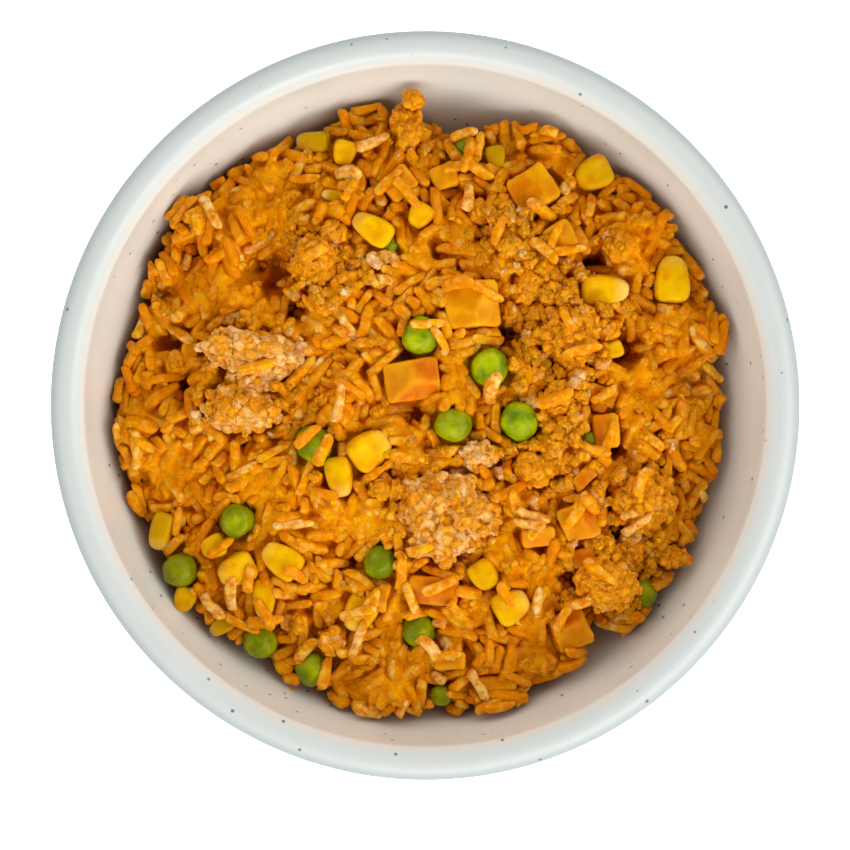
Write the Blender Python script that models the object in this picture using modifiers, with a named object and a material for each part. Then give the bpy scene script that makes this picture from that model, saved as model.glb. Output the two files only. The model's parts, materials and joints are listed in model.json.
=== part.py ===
"""Chicken risotto heaped in a glazed bowl, in metres, with +Z up.

The origin is the middle of the foot's resting face. +Y is the side of the bowl that lies
at the top when it is seen from straight above, and +X the side at the right.
"""
import itertools
import math
import random

import bmesh
import bpy
from mathutils import Matrix, Vector, noise
from mathutils.bvhtree import BVHTree

MM = 0.001

# Bowl
BOWL_RADIUS = 80 * MM
BOWL_HEIGHT = 60 * MM
RIM_WIDTH = 7.3 * MM
RIM_ROUND = 4 * MM
INSIDE_FLOOR = 6 * MM
INSIDE_ROUNDNESS = 2.4  # 2 is a true ellipse, more is steeper at the rim and flatter below
OUTSIDE_FLOOR = 1.5 * MM  # where the outside's curve would end, were there no foot
OUTSIDE_ROUNDNESS = 2.1
FOOT_RADIUS = 36 * MM
FOOT_WIDTH = 5 * MM
FOOT_HEIGHT = 5 * MM
FOOT_HOLLOW = 2.2 * MM
BOWL_SIDES = 32
WALL_STEPS = 6  # straight runs in each quarter outline of the wall
RIM_STEPS = 6  # straight runs over the rim, an even number so that one corner is its crest

# Heap of rice
HEAP_CROWN = 45.5 * MM
HEAP_SHOULDER = 36.5 * MM
HEAP_FALL = 3.0  # how late the crown falls away to the shoulder
# The outline's radii in millimetres, one every 15 degrees from +X round by +Y
HEAP_RADII = (64.5, 65.5, 65.5, 65, 66, 62, 61, 65.5, 63.5, 66, 65, 64,
              63, 66, 67, 66, 64.5, 64.5, 65, 66, 61.5, 65.5, 65, 62)
SIDE_TOP = -0.45  # the sphere's heights between which its surface becomes the heap's side
SIDE_FOOT = -0.58
RELIEF = ((13 * MM, 1.5 * MM), (6 * MM, 0.9 * MM))  # wavelength and height of the bumps
CORE_DIVISIONS = 4
BOWL_GAP = 0.7 * MM
PIECE_GAP = 0.35 * MM

# Loose grains
GRAIN_COUNT = 85
GRAIN_LENGTH = 7.6 * MM
GRAIN_LENGTH_SPREAD = 1.1 * MM
GRAIN_THICKNESS = 2.3 * MM
GRAIN_SPACING = 5.2 * MM
GRAIN_STAND = 0.25  # share of its thickness by which a grain's middle stands off the core
GRAIN_SLOPE = (-0.2, 0.35)  # how far a grain dips into the core or rises from it, along its own run
GRAIN_SEED = 11
TOPPING_SEED = 5

# Place (x, y), diameter and lift over the core, in millimetres
PEAS = {
    "pea_middle_left": ((-0.9, 15.5), 8.4, 1.6),
    "pea_middle_right": ((13.7, 8.5), 8.6, 2.4),
    "pea_carrot": ((6.1, -3.9), 8.2, 2.4),
    "pea_centre": ((20.5, -3.5), 8.6, 2.4),
    "pea_left": ((-24.2, -8.4), 8.2, 2.2),
    "pea_lower_left": ((-40.9, -24.8), 8.2, 1.8),
    "pea_rim_left": ((-54.2, -36.1), 8.2, 3.0),
    "pea_foot_left": ((-36.6, -52.0), 8.0, 1.0),
    "pea_foot_right": ((-24.8, -58.2), 8.0, 1.0),
    "pea_wrinkled": ((-9.8, -34.2), 7.6, 1.6),
    "pea_sunk": ((-1.5, -49.2), 7.6, 0.4),
    "pea_rim_right": ((48.0, -41.9), 7.6, -0.8),
    "pea_top": ((9.0, 57.6), 7.4, 0.8),
}

# Place, length x width x thickness, heading in degrees and lift
KERNELS = {
    "corn_upper_left": ((-11.4, 38.7), (9.5, 6.0, 4.8), -32, 2.2),
    "corn_upper_middle": ((-1.0, 41.6), (5.6, 5.4, 5.2), 60, 2.0),
    "corn_top_left": ((-17.8, 55.8), (5.6, 5.2, 5.0), 75, 2.2),
    "corn_top_edge": ((-24.8, 58.6), (7.4, 4.6, 4.6), 0, 1.6),
    "corn_top_right": ((37.1, 51.2), (7.8, 7.4, 6.4), 30, 3.0),
    "corn_right": ((39.4, 25.4), (10.5, 6.7, 5.0), 180, 2.4),
    "corn_rim_right": ((54.3, 27.9), (10.3, 7.8, 5.0), -90, 3.2),
    "corn_blocky": ((-12.0, -9.4), (9.4, 8.0, 5.6), 215, 2.6),
    "corn_beside_blocky": ((-18.6, -15.4), (8.8, 5.8, 4.8), 100, 1.8),
    "corn_left_small": ((-46.4, -30.9), (5.6, 5.2, 4.6), 20, 1.8),
    "corn_left": ((-41.3, -35.9), (8.4, 6.8, 5.0), 25, 2.2),
    "corn_lower_left": ((-31.3, -33.7), (9.5, 7.0, 5.0), -35, 2.2),
    "corn_upright": ((-35.3, -42.3), (8.8, 5.2, 4.6), 90, 1.8),
    "corn_rim_left": ((-58.2, -27.6), (8.4, 4.8, 5.0), 75, 2.0),
    "corn_foot": ((-14.3, -45.4), (8.6, 7.2, 5.0), 65, 2.0),
    "corn_under_chicken": ((13.0, -36.9), (6.6, 6.2, 4.6), 120, 1.4),
    "corn_lower_right": ((18.8, -43.6), (8.0, 7.4, 5.2), 210, 2.4),
}

# Place, length x width x height, heading and lift
DICE = {
    "carrot_upper_right": ((23.9, 47.4), (10.6, 9.6, 8.0), 35, 1.6),
    "carrot_top": ((-5.8, 49.0), (7.6, 7.0, 6.0), 40, 0.9),
    "carrot_middle": ((10.2, 22.0), (12.6, 10.6, 8.6), 6, 2.0),
    "carrot_centre": ((-2.8, 5.6), (12.6, 9.4, 8.6), 9, 2.2),
    "carrot_lower": ((2.0, -40.4), (12.0, 7.0, 6.4), -4, 0.8),
    "carrot_foot_right": ((31.8, -49.4), (8.6, 9.2, 8.0), 25, 0.8),
    "carrot_right": ((33.6, -25.2), (8.8, 8.4, 6.6), 18, 1.4),
    "carrot_upper_small": ((29.6, 36.8), (7.2, 7.0, 6.0), 30, 1.2),
    "carrot_right_small": ((39.4, -5.4), (8.0, 6.0, 5.6), 95, 1.2),
    "carrot_slab": ((24.6, -28.4), (8.0, 4.6, 4.6), 5, 1.4),
    "carrot_top_small": ((4.4, 50.4), (6.6, 6.2, 5.2), 20, 1.2),
    "carrot_flat": ((5.4, -56.0), (8.0, 4.8, 4.0), 0, 1.6),
    "carrot_foot_slab": ((15.8, -61.2), (10.0, 4.2, 5.0), 5, 0.6),
}

# Place, length x width x height, heading, lift and the number of times the ball is divided
LUMPS = {
    "chicken_centre": ((3.9, -24.0), (24.4, 22.8, 13.6), 40, 1.8, 3),
    "chicken_left_upper": ((-38.0, 11.4), (26.0, 10.8, 12.0), -6, 3.2, 3),
    "chicken_left_lower": ((-40.0, -0.6), (19.0, 10.4, 11.0), -12, 2.8, 3),
    "chicken_right": ((47.6, -19.8), (16.4, 15.6, 12.0), 60, 2.6, 3),
    "chicken_lower_right": ((40.4, -39.0), (16.6, 12.6, 10.4), -14, 3.8, 3),
    "chicken_ragged": ((31.3, 15.2), (17.0, 14.6, 11.0), 75, 2.6, 3),
    "chicken_top": ((-3.1, 61.3), (12.6, 9.4, 10.0), 95, 3.4, 2),
    "chicken_by_pea": ((12.0, -10.8), (10.6, 6.2, 7.4), 8, 1.6, 2),
    "chicken_upper": ((17.3, 37.2), (9.8, 7.2, 7.6), 80, 2.0, 2),
    "chicken_middle_right": ((28.8, 1.6), (9.0, 8.4, 7.6), 20, 2.0, 2),
    "chicken_beside": ((23.4, -14.0), (9.6, 8.0, 7.6), 0, 2.0, 2),
    "chicken_edge": ((55.4, -33.2), (8.6, 5.6, 6.0), 0, 2.6, 2),
    "chicken_foot": ((-20.4, -51.9), (7.0, 6.6, 6.0), 0, 1.6, 2),
    "chicken_upper_left": ((-24.2, 32.0), (12.6, 12.0, 8.6), 30, 1.6, 2),
}
DICE_ROUNDING = 0.7 * MM
CRAG = 0.3  # depth of a lump's crags, as a share of its radius


def clear_scene():
    for obj in list(bpy.data.objects):
        bpy.data.objects.remove(obj)


def new_collection(name):
    collection = bpy.data.collections.new(name)
    bpy.context.scene.collection.children.link(collection)
    return collection


def linear_colour(red, green, blue):
    """A colour read on a 0 to 255 display scale, as the linear values that a shader takes."""
    def linear(value):
        share = value / 255
        return share / 12.92 if share <= 0.04045 else ((share + 0.055) / 1.055) ** 2.4
    return (linear(red), linear(green), linear(blue), 1.0)


def new_material(name, colour, roughness):
    material = bpy.data.materials.new(name)
    material.use_nodes = True
    shader = material.node_tree.nodes["Principled BSDF"]
    shader.inputs["Base Color"].default_value = linear_colour(*colour)
    shader.inputs["Roughness"].default_value = roughness
    shader.inputs["Metallic"].default_value = 0.0
    return material


def new_object(name, bm, collection, material=None):
    mesh = bpy.data.meshes.new(name)
    bm.to_mesh(mesh)
    bm.free()
    obj = bpy.data.objects.new(name, mesh)
    collection.objects.link(obj)
    if material:
        mesh.materials.append(material)
    return obj


def round_off(mesh, angle=40):
    mesh.shade_smooth()
    mesh.set_sharp_from_angle(angle=math.radians(angle))


# Bowl

def oval(share, power):
    """The other side of a rounded quarter outline, both sides running from 0 to 1."""
    return (1 - min(max(share, 0.0), 1.0) ** power) ** (1 / power)


WALL_TOP = BOWL_HEIGHT - RIM_ROUND
WALL_DEPTH = WALL_TOP - INSIDE_FLOOR
INSIDE_RADIUS = BOWL_RADIUS - RIM_WIDTH


def wall_radius(height):
    return INSIDE_RADIUS * oval((WALL_TOP - height) / WALL_DEPTH, INSIDE_ROUNDNESS)


def wall_height(radius):
    return WALL_TOP - WALL_DEPTH * oval(radius / INSIDE_RADIUS, INSIDE_ROUNDNESS)


def quarter(across, down, power, steps):
    """Points of a rounded quarter outline, from (across, 0) to (0, down)."""
    points = []
    for step in range(steps + 1):
        turn = step / steps * math.pi / 2
        points.append((across * math.cos(turn) ** (2 / power), down * math.sin(turn) ** (2 / power)))
    return points


def bowl_profile():
    """From the inside's middle up its wall, over the rim, down the outside and under the foot."""
    inside = quarter(INSIDE_RADIUS, WALL_DEPTH, INSIDE_ROUNDNESS, WALL_STEPS)
    profile = [(x, WALL_TOP - down) for x, down in reversed(inside)]
    rim_middle = BOWL_RADIUS - RIM_WIDTH / 2
    for step in range(1, RIM_STEPS):
        turn = math.pi * (1 - step / RIM_STEPS)
        profile.append((rim_middle + RIM_WIDTH / 2 * math.cos(turn), WALL_TOP + RIM_ROUND * math.sin(turn)))
    outside = quarter(BOWL_RADIUS, WALL_TOP - OUTSIDE_FLOOR, OUTSIDE_ROUNDNESS, WALL_STEPS)
    profile += [(x, WALL_TOP - down) for x, down in outside if x > FOOT_RADIUS + 3 * MM]
    profile += [
        (FOOT_RADIUS, FOOT_HEIGHT),
        (FOOT_RADIUS - 0.6 * MM, 0),
        (FOOT_RADIUS - FOOT_WIDTH, 0),
        (FOOT_RADIUS - FOOT_WIDTH - 0.8 * MM, FOOT_HOLLOW),
        (0, FOOT_HOLLOW),
    ]
    return profile


def make_bowl(collection):
    bm = bmesh.new()
    corners = [bm.verts.new((x, 0, z)) for x, z in bowl_profile()]
    for start, end in zip(corners, corners[1:]):
        bm.edges.new((start, end))
    bowl = new_object("bowl", bm, collection, new_material("glaze", (222, 222, 214), 0.22))
    screw = bowl.modifiers.new("turned", "SCREW")
    screw.axis = "Z"
    screw.steps = BOWL_SIDES
    screw.render_steps = BOWL_SIDES
    screw.use_merge_vertices = True
    screw.merge_threshold = 0.00001
    return bowl


# Heap

def outline_radius(angle):
    """The heap's radius in this direction, eased between the radii that stand 15 degrees apart."""
    place = (angle / math.tau % 1) * len(HEAP_RADII)
    before = int(place)
    share = place - before
    eased = share * share * (3 - 2 * share)
    low = HEAP_RADII[before % len(HEAP_RADII)]
    high = HEAP_RADII[(before + 1) % len(HEAP_RADII)]
    return (low + (high - low) * eased) * MM


def crown_height(x, y):
    share = math.hypot(x, y) / outline_radius(math.atan2(y, x))
    height = HEAP_SHOULDER + (HEAP_CROWN - HEAP_SHOULDER) * (1 - min(share, 1) ** HEAP_FALL)
    for wavelength, bump in RELIEF:
        height += bump * noise.noise(Vector((x, y, 0)) / wavelength)
    return height


def heap_point(direction):
    """Moves a point of the unit sphere to the heap: its cap is the crown, its base the bowl's wall."""
    angle = math.atan2(direction.y, direction.x)
    widest = outline_radius(angle)
    if direction.z > SIDE_TOP:
        radius = widest * math.sqrt((1 - direction.z) / (1 - SIDE_TOP))
    elif direction.z < SIDE_FOOT:
        radius = widest * math.sqrt((1 + direction.z) / (1 + SIDE_FOOT))
    else:
        radius = widest
    x = radius * math.cos(angle)
    y = radius * math.sin(angle)
    foot = wall_height(radius + BOWL_GAP) + BOWL_GAP
    if direction.z < SIDE_FOOT:
        return Vector((x, y, foot))
    crown = crown_height(x, y)
    if direction.z > SIDE_TOP:
        return Vector((x, y, crown))
    share = (direction.z - SIDE_FOOT) / (SIDE_TOP - SIDE_FOOT)
    return Vector((x, y, foot + (crown - foot) * share))


def make_core(collection, material):
    bm = bmesh.new()
    bmesh.ops.create_icosphere(bm, subdivisions=CORE_DIVISIONS, radius=1)
    for vert in bm.verts:
        vert.co = heap_point(vert.co)
    bmesh.ops.triangulate(bm, faces=bm.faces)
    return new_object("rice", bm, collection, material)


# Toppings

def place(obj, at, heading, lift, lean=(0.0, 0.0)):
    """Sets a piece on the core at a place in millimetres, its lean in degrees about its own X and Y."""
    x, y = (value * MM for value in at)
    obj.location = (x, y, crown_height(x, y) + lift * MM)
    obj.rotation_euler = (math.radians(lean[0]), math.radians(lean[1]), math.radians(heading))
    return obj


def fit_to(bm, size):
    """Stretches a shape to its size in millimetres and centres it."""
    for axis in range(3):
        low = min(vert.co[axis] for vert in bm.verts)
        high = max(vert.co[axis] for vert in bm.verts)
        for vert in bm.verts:
            vert.co[axis] = (vert.co[axis] - (low + high) / 2) * size[axis] * MM / (high - low)


def pea_shape(diameter, rng):
    bm = bmesh.new()
    bmesh.ops.create_uvsphere(bm, u_segments=7, v_segments=5, radius=1)
    shift = Vector((rng.uniform(0, 9), rng.uniform(0, 9), 0))
    for vert in bm.verts:
        vert.co *= 1 + 0.04 * noise.noise(vert.co * 1.7 + shift)
    fit_to(bm, (diameter,) * 3)
    return bm


def kernel_shape(size):
    """A kernel lies along +X: a narrow tip, a broad dented crown, flat sides."""
    bm = bmesh.new()
    bmesh.ops.create_uvsphere(
        bm, u_segments=7, v_segments=5, radius=1, matrix=Matrix.Rotation(math.pi / 2, 4, "Y")
    )
    for vert in bm.verts:
        x, y, z = (math.copysign(abs(value) ** 0.7, value) for value in vert.co)
        dent = 0.12 * max(x, 0) * max(0.0, 1 - (y * y + z * z) / 0.4)
        vert.co = Vector((x - dent, y * (0.8 + 0.2 * x), z * (0.88 + 0.12 * x)))
    fit_to(bm, size)
    return bm


def dice_shape(size, rng):
    """A hand-cut dice: a box with uneven corners and slightly rounded edges."""
    bm = bmesh.new()
    bmesh.ops.create_cube(bm, size=1)
    for vert in bm.verts:
        for axis in range(3):
            vert.co[axis] *= size[axis] * MM * rng.uniform(0.88, 1.0)
    bmesh.ops.bevel(bm, geom=bm.edges[:], offset=DICE_ROUNDING, segments=1, affect="EDGES")
    bmesh.ops.triangulate(bm, faces=bm.faces)
    return bm


def lump_shape(size, divisions, rng):
    """A craggy nugget: a ball pushed in between round knobs, then stretched."""
    bm = bmesh.new()
    bmesh.ops.create_icosphere(bm, subdivisions=divisions, radius=1)
    shift = Vector((rng.uniform(0, 20), rng.uniform(0, 20), rng.uniform(0, 20)))
    for vert in bm.verts:
        knobs = abs(noise.noise(vert.co * 2.1 + shift))
        bends = noise.noise(vert.co * 0.9 - shift)
        vert.co *= 1 - CRAG * (1 - min(knobs * 2.6, 1)) + CRAG * bends
    fit_to(bm, size)
    return bm


def socket_for(obj, sockets):
    """A few-sided shape tight round a piece, its box with cut corners, which cuts its seat in the core."""
    half = Vector(obj.dimensions) / 2
    bm = bmesh.new()
    bmesh.ops.create_cube(bm, size=2)
    points = [Vector(vert.co[axis] / half[axis] for axis in range(3)) for vert in obj.data.vertices]
    for corner in itertools.product((-1, 1), repeat=3):
        outward = Vector(corner).normalized()
        reach = max(point.dot(outward) for point in points)
        cut = bm.verts[:] + bm.edges[:] + bm.faces[:]
        bmesh.ops.bisect_plane(bm, geom=cut, plane_co=outward * reach, plane_no=outward, clear_outer=True)
        bmesh.ops.holes_fill(bm, edges=bm.edges)
    bmesh.ops.scale(bm, vec=[side + PIECE_GAP for side in half], verts=bm.verts)
    bmesh.ops.recalc_face_normals(bm, faces=bm.faces)
    bmesh.ops.triangulate(bm, faces=bm.faces)
    socket = new_object("socket_" + obj.name, bm, sockets)
    socket.location = obj.location
    socket.rotation_euler = obj.rotation_euler
    socket.hide_render = True
    socket.display_type = "WIRE"


def make_peas(collection, sockets, rng):
    skin = new_material("pea_skin", (128, 176, 22), 0.3)
    for name, (at, diameter, lift) in PEAS.items():
        pea = new_object(name, pea_shape(diameter, rng), collection, skin)
        place(pea, at, rng.uniform(0, 360), lift, (rng.uniform(-60, 60), 0))
        round_off(pea.data)
        socket_for(pea, sockets)


def make_kernels(collection, sockets, rng):
    skin = new_material("corn_skin", (240, 196, 12), 0.3)
    for name, (at, size, heading, lift) in KERNELS.items():
        kernel = new_object(name, kernel_shape(size), collection, skin)
        place(kernel, at, heading, lift, (rng.uniform(-14, 14), rng.uniform(-12, 12)))
        round_off(kernel.data)
        socket_for(kernel, sockets)


def make_dice(collection, sockets, rng):
    flesh = new_material("carrot_flesh", (236, 134, 10), 0.32)
    for name, (at, size, heading, lift) in DICE.items():
        dice = new_object(name, dice_shape(size, rng), collection, flesh)
        place(dice, at, heading, lift, (rng.uniform(-9, 9), rng.uniform(-9, 9)))
        socket_for(dice, sockets)


def make_lumps(collection, sockets, rng):
    meat = new_material("chicken_meat", (216, 150, 82), 0.45)
    for name, (at, size, heading, lift, divisions) in LUMPS.items():
        lump = new_object(name, lump_shape(size, divisions, rng), collection, meat)
        place(lump, at, heading, lift)
        round_off(lump.data, 60)
        socket_for(lump, sockets)


# Boolean work on the heap

def apply_boolean(obj, operation, collection, solver):
    """Cuts the collection's shapes from the object, or joins them to it, and removes them."""
    modifier = obj.modifiers.new(operation.lower(), "BOOLEAN")
    modifier.operation = operation
    modifier.operand_type = "COLLECTION"
    modifier.collection = collection
    modifier.solver = solver
    bpy.context.view_layer.update()
    graph = bpy.context.evaluated_depsgraph_get()
    mesh = bpy.data.meshes.new_from_object(obj.evaluated_get(graph))
    obj.modifiers.remove(modifier)
    before = obj.data
    obj.data = mesh
    bpy.data.meshes.remove(before)
    mesh.name = obj.name
    for used in list(collection.objects):
        bpy.data.objects.remove(used)
    bpy.data.collections.remove(collection)


def islands(bm):
    """The faces of each part of the mesh that hangs together."""
    left = set(bm.faces)
    found = []
    while left:
        island = []
        ahead = [left.pop()]
        while ahead:
            face = ahead.pop()
            island.append(face)
            for edge in face.edges:
                for other in edge.link_faces:
                    if other in left:
                        left.remove(other)
                        ahead.append(other)
        found.append(island)
    return found


def keep_main_body(obj):
    """Fills sealed hollows and drops loose scraps: only the shell with the most faces stays."""
    bm = bmesh.new()
    bm.from_mesh(obj.data)
    parts = sorted(islands(bm), key=len)
    scraps = [face for part in parts[:-1] for face in part]
    if scraps:
        bmesh.ops.delete(bm, geom=scraps, context="FACES")
    bmesh.ops.triangulate(bm, faces=bm.faces)
    bm.to_mesh(obj.data)
    bm.free()


def tree_of(obj):
    bm = bmesh.new()
    bm.from_mesh(obj.data)
    bm.transform(obj.matrix_world)
    bm.normal_update()
    tree = BVHTree.FromBMesh(bm)
    bm.free()
    return tree


def stands_clear(points, radius, trees):
    """Whether a grain that runs through these points keeps its gap to every topping and to the bowl."""
    for point in points:
        if math.hypot(point.x, point.y) + radius + BOWL_GAP > wall_radius(point.z):
            return False
        for tree in trees:
            near, normal, _, distance = tree.find_nearest(point)
            if distance < radius + PIECE_GAP or (point - near).dot(normal) < 0:
                return False
    return True


def grain_shape(length, thickness):
    bm = bmesh.new()
    bmesh.ops.create_uvsphere(bm, u_segments=5, v_segments=3, radius=0.5)
    bmesh.ops.scale(bm, vec=(thickness, thickness, length), verts=bm.verts)
    return bm


def make_grains(core, toppings):
    """Grains at true size, spread evenly over the crown and side, each sunk a little in the core."""
    grains = new_collection("grains")
    rng = random.Random(GRAIN_SEED)
    core_tree = tree_of(core)
    trees = [tree_of(topping) for topping in toppings]
    middles = []
    while len(middles) < GRAIN_COUNT:
        turn = rng.uniform(0, math.tau)
        level = rng.uniform(SIDE_FOOT, 1)
        across = math.sqrt(1 - level * level)
        aim = heap_point(Vector((across * math.cos(turn), across * math.sin(turn), level)))
        surface, normal, _, _ = core_tree.find_nearest(aim)
        length = GRAIN_LENGTH + GRAIN_LENGTH_SPREAD * rng.uniform(-1, 1)
        along = normal.orthogonal().normalized()
        along.rotate(Matrix.Rotation(rng.uniform(0, math.tau), 3, normal))
        axis = (along + normal * rng.uniform(*GRAIN_SLOPE)).normalized()
        middle = surface + normal * GRAIN_STAND * GRAIN_THICKNESS
        if any((middle - other).length < GRAIN_SPACING for other in middles):
            continue
        points = [middle + axis * length * share / 8 for share in range(-4, 5)]
        if not stands_clear(points, GRAIN_THICKNESS / 2, trees):
            continue
        middles.append(middle)
        grain = new_object("grain", grain_shape(length, GRAIN_THICKNESS), grains)
        grain.location = middle
        grain.rotation_mode = "QUATERNION"
        grain.rotation_quaternion = axis.to_track_quat("Z", "Y")
    return grains


def make_rice(collection, sockets, toppings):
    rice = make_core(collection, new_material("rice_grain", (222, 134, 14), 0.38))
    bpy.context.view_layer.update()
    apply_boolean(rice, "DIFFERENCE", sockets, "MANIFOLD")
    keep_main_body(rice)
    apply_boolean(rice, "UNION", make_grains(rice, toppings), "MANIFOLD")
    keep_main_body(rice)
    round_off(rice.data)


def main():
    clear_scene()
    risotto = new_collection("chicken_risotto")
    sockets = new_collection("sockets")
    make_bowl(risotto)
    rng = random.Random(TOPPING_SEED)
    make_peas(risotto, sockets, rng)
    make_kernels(risotto, sockets, rng)
    make_dice(risotto, sockets, rng)
    make_lumps(risotto, sockets, rng)
    bpy.context.view_layer.update()
    toppings = [obj for obj in risotto.objects if obj.name != "bowl"]
    make_rice(risotto, sockets, toppings)


main()
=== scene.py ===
import json
import math

import bmesh
import bpy
import numpy as np
from mathutils import Matrix, Vector, noise
from mathutils.bvhtree import BVHTree

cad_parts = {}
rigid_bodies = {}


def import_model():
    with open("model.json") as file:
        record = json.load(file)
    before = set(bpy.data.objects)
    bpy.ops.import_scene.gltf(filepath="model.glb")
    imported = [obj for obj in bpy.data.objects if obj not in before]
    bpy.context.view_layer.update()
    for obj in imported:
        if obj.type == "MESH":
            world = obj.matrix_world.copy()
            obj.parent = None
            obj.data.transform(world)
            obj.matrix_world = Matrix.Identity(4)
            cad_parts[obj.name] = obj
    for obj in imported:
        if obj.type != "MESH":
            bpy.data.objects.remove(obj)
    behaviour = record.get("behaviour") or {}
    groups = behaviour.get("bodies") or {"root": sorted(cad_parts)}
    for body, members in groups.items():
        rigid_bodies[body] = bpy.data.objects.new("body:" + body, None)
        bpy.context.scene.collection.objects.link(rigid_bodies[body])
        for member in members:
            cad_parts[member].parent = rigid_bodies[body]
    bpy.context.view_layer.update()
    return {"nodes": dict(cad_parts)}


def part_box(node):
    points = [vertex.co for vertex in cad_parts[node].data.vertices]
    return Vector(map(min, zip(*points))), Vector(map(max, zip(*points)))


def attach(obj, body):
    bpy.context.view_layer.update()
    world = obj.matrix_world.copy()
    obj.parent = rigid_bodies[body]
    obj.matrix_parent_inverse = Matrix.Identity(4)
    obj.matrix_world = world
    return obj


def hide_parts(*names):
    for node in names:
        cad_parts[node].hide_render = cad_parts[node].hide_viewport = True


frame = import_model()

mm = 0.001


# Helpers for materials and node trees

def paint(red, green, blue):
    # a colour as read on a screen, 0 to 255, as the linear values a shader takes
    return tuple((value / 255) ** 2.2 for value in (red, green, blue)) + (1.0,)


def isSocket(value):
    return isinstance(value, bpy.types.NodeSocket)


def addNode(tree, kind, inputs=None, **settings):
    # nodes stand in rows, in the order in which they are made; an input is a value or a socket to link
    made = tree.nodes.new(kind if "Node" in kind else "ShaderNode" + kind)
    row, column = divmod(len(tree.nodes), 8)
    made.location = (220 * column - 1600, 600 - 320 * row)
    for setting, value in settings.items():
        setattr(made, setting, value)
    for socket, value in (inputs or {}).items():
        if isSocket(value):
            tree.links.new(value, made.inputs[socket])
        else:
            made.inputs[socket].default_value = value
    return made


def addMath(tree, operation, first, second=0.0, third=0.0):
    return addNode(tree, "Math", {0: first, 1: second, 2: third}, operation=operation).outputs[0]


def multiply(tree, first, second):
    return addMath(tree, "MULTIPLY", first, second)


def mixColours(tree, share, first, second):
    # each colour is a socket, or red, green and blue from 0 to 255
    first, second = (colour if isSocket(colour) else paint(*colour) for colour in (first, second))
    return addNode(tree, "Mix", {0: share, 6: first, 7: second}, data_type="RGBA").outputs[2]


def addRamp(tree, value, *stops):
    # each stop: its position, and red, green and blue from 0 to 255
    ramp = addNode(tree, "ValToRGB", {0: value})
    elements = ramp.color_ramp.elements
    for element, (position, *colour) in zip(elements, (stops[0], stops[-1])):
        element.position = position
        element.color = paint(*colour)
    for position, *colour in stops[1:-1]:
        elements.new(position).color = paint(*colour)
    return ramp.outputs[0]


def spread(tree, value, low, high, newLow=0.0, newHigh=1.0):
    return addNode(tree, "MapRange", {0: value, 1: low, 2: high, 3: newLow, 4: newHigh},
                   interpolation_type="SMOOTHSTEP").outputs[0]


def objectPlace(tree):
    return addNode(tree, "TexCoord").outputs["Object"]


def noiseOf(tree, where, scale, detail=3.0, roughness=0.5):
    return addNode(tree, "TexNoise", {"Vector": where, "Scale": scale, "Detail": detail,
                                      "Roughness": roughness}).outputs["Fac"]


def attributeOf(tree, name):
    return addNode(tree, "Attribute", attribute_name=name).outputs["Fac"]


def addBump(tree, height, strength, distance):
    return addNode(tree, "Bump", {"Height": height, "Strength": strength,
                                  "Distance": distance * mm}).outputs[0]


def newTree(kind, name, inputs, outputs):
    # inputs: name, socket kind and perhaps a value; outputs: name and socket kind
    tree = bpy.data.node_groups.new(name, kind + "NodeTree")
    for label, socket, *value in inputs:
        made = tree.interface.new_socket(label, in_out="INPUT", socket_type="NodeSocket" + socket)
        if value:
            made.default_value = value[0]
    for label, socket in outputs:
        tree.interface.new_socket(label, in_out="OUTPUT", socket_type="NodeSocket" + socket)
    return tree, addNode(tree, "NodeGroupInput").outputs


def placeGroup(tree, group, **inputs):
    return addNode(tree, "Group", inputs, node_tree=group).outputs


def newMaterial(name, **fixed):
    # what is the same all over goes straight onto the shader's own sockets
    material = bpy.data.materials.new(name)
    material.use_nodes = True
    for socket, value in fixed.items():
        material.node_tree.nodes["Principled BSDF"].inputs[socket.replace("_", " ")].default_value = value
    return material, material.node_tree


def foodMaterial(name, under, reach, radius, tint, specular=0.3, **fixed):
    # light under the skin: how much goes in, how many millimetres, and how far each of red, green and blue
    return newMaterial(name, Subsurface_Weight=under, Subsurface_Scale=reach * mm, Subsurface_Radius=radius,
                       Specular_Tint=(*tint, 1.0), Specular_IOR_Level=specular, **fixed)


def finishSurface(tree, varying):
    for socket, value in varying.items():
        tree.links.new(value, tree.nodes["Principled BSDF"].inputs[socket])


# Helpers for meshes

def placeObject(name, data):
    made = bpy.data.objects.new(name, data)
    bpy.context.scene.collection.objects.link(made)
    return made


def meshFrom(name, points, faces, scale=mm):
    mesh = bpy.data.meshes.new(name)
    mesh.from_pydata((np.asarray(points, float) * scale).tolist(), [], faces)
    mesh.shade_smooth()
    return mesh


def meshOf(name, bm):
    mesh = bpy.data.meshes.new(name)
    bm.to_mesh(mesh)
    bm.free()
    return mesh


def bakeModifiers(carrier):
    # the carrier gets the plain mesh that its modifiers make
    bpy.context.view_layer.update()
    graph = bpy.context.evaluated_depsgraph_get()
    mesh = bpy.data.meshes.new_from_object(carrier.evaluated_get(graph))
    carrier.modifiers.clear()
    carrier.data = mesh
    return mesh


def setAttribute(mesh, name, values):
    # values: one number for all points, or a number or a vector for each
    values = np.asarray(values, np.float32)
    if values.ndim == 0:
        values = np.full(len(mesh.vertices), values)
    kind, field = ("FLOAT_VECTOR", "vector") if values.ndim == 2 else ("FLOAT", "value")
    mesh.attributes.new(name, kind, "POINT").data.foreach_set(field, values.ravel())


def vectorsOf(items, field):
    vectors = np.empty(len(items) * 3)
    items.foreach_get(field, vectors)
    return vectors.reshape(-1, 3)


def meshPoints(mesh):
    return vectorsOf(mesh.vertices, "co")


def meshNormals(mesh):
    return vectorsOf(mesh.vertex_normals, "vector")


def movePoints(mesh, points):
    # points in millimetres
    mesh.vertices.foreach_set("co", (points * mm).ravel())
    mesh.update()


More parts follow.
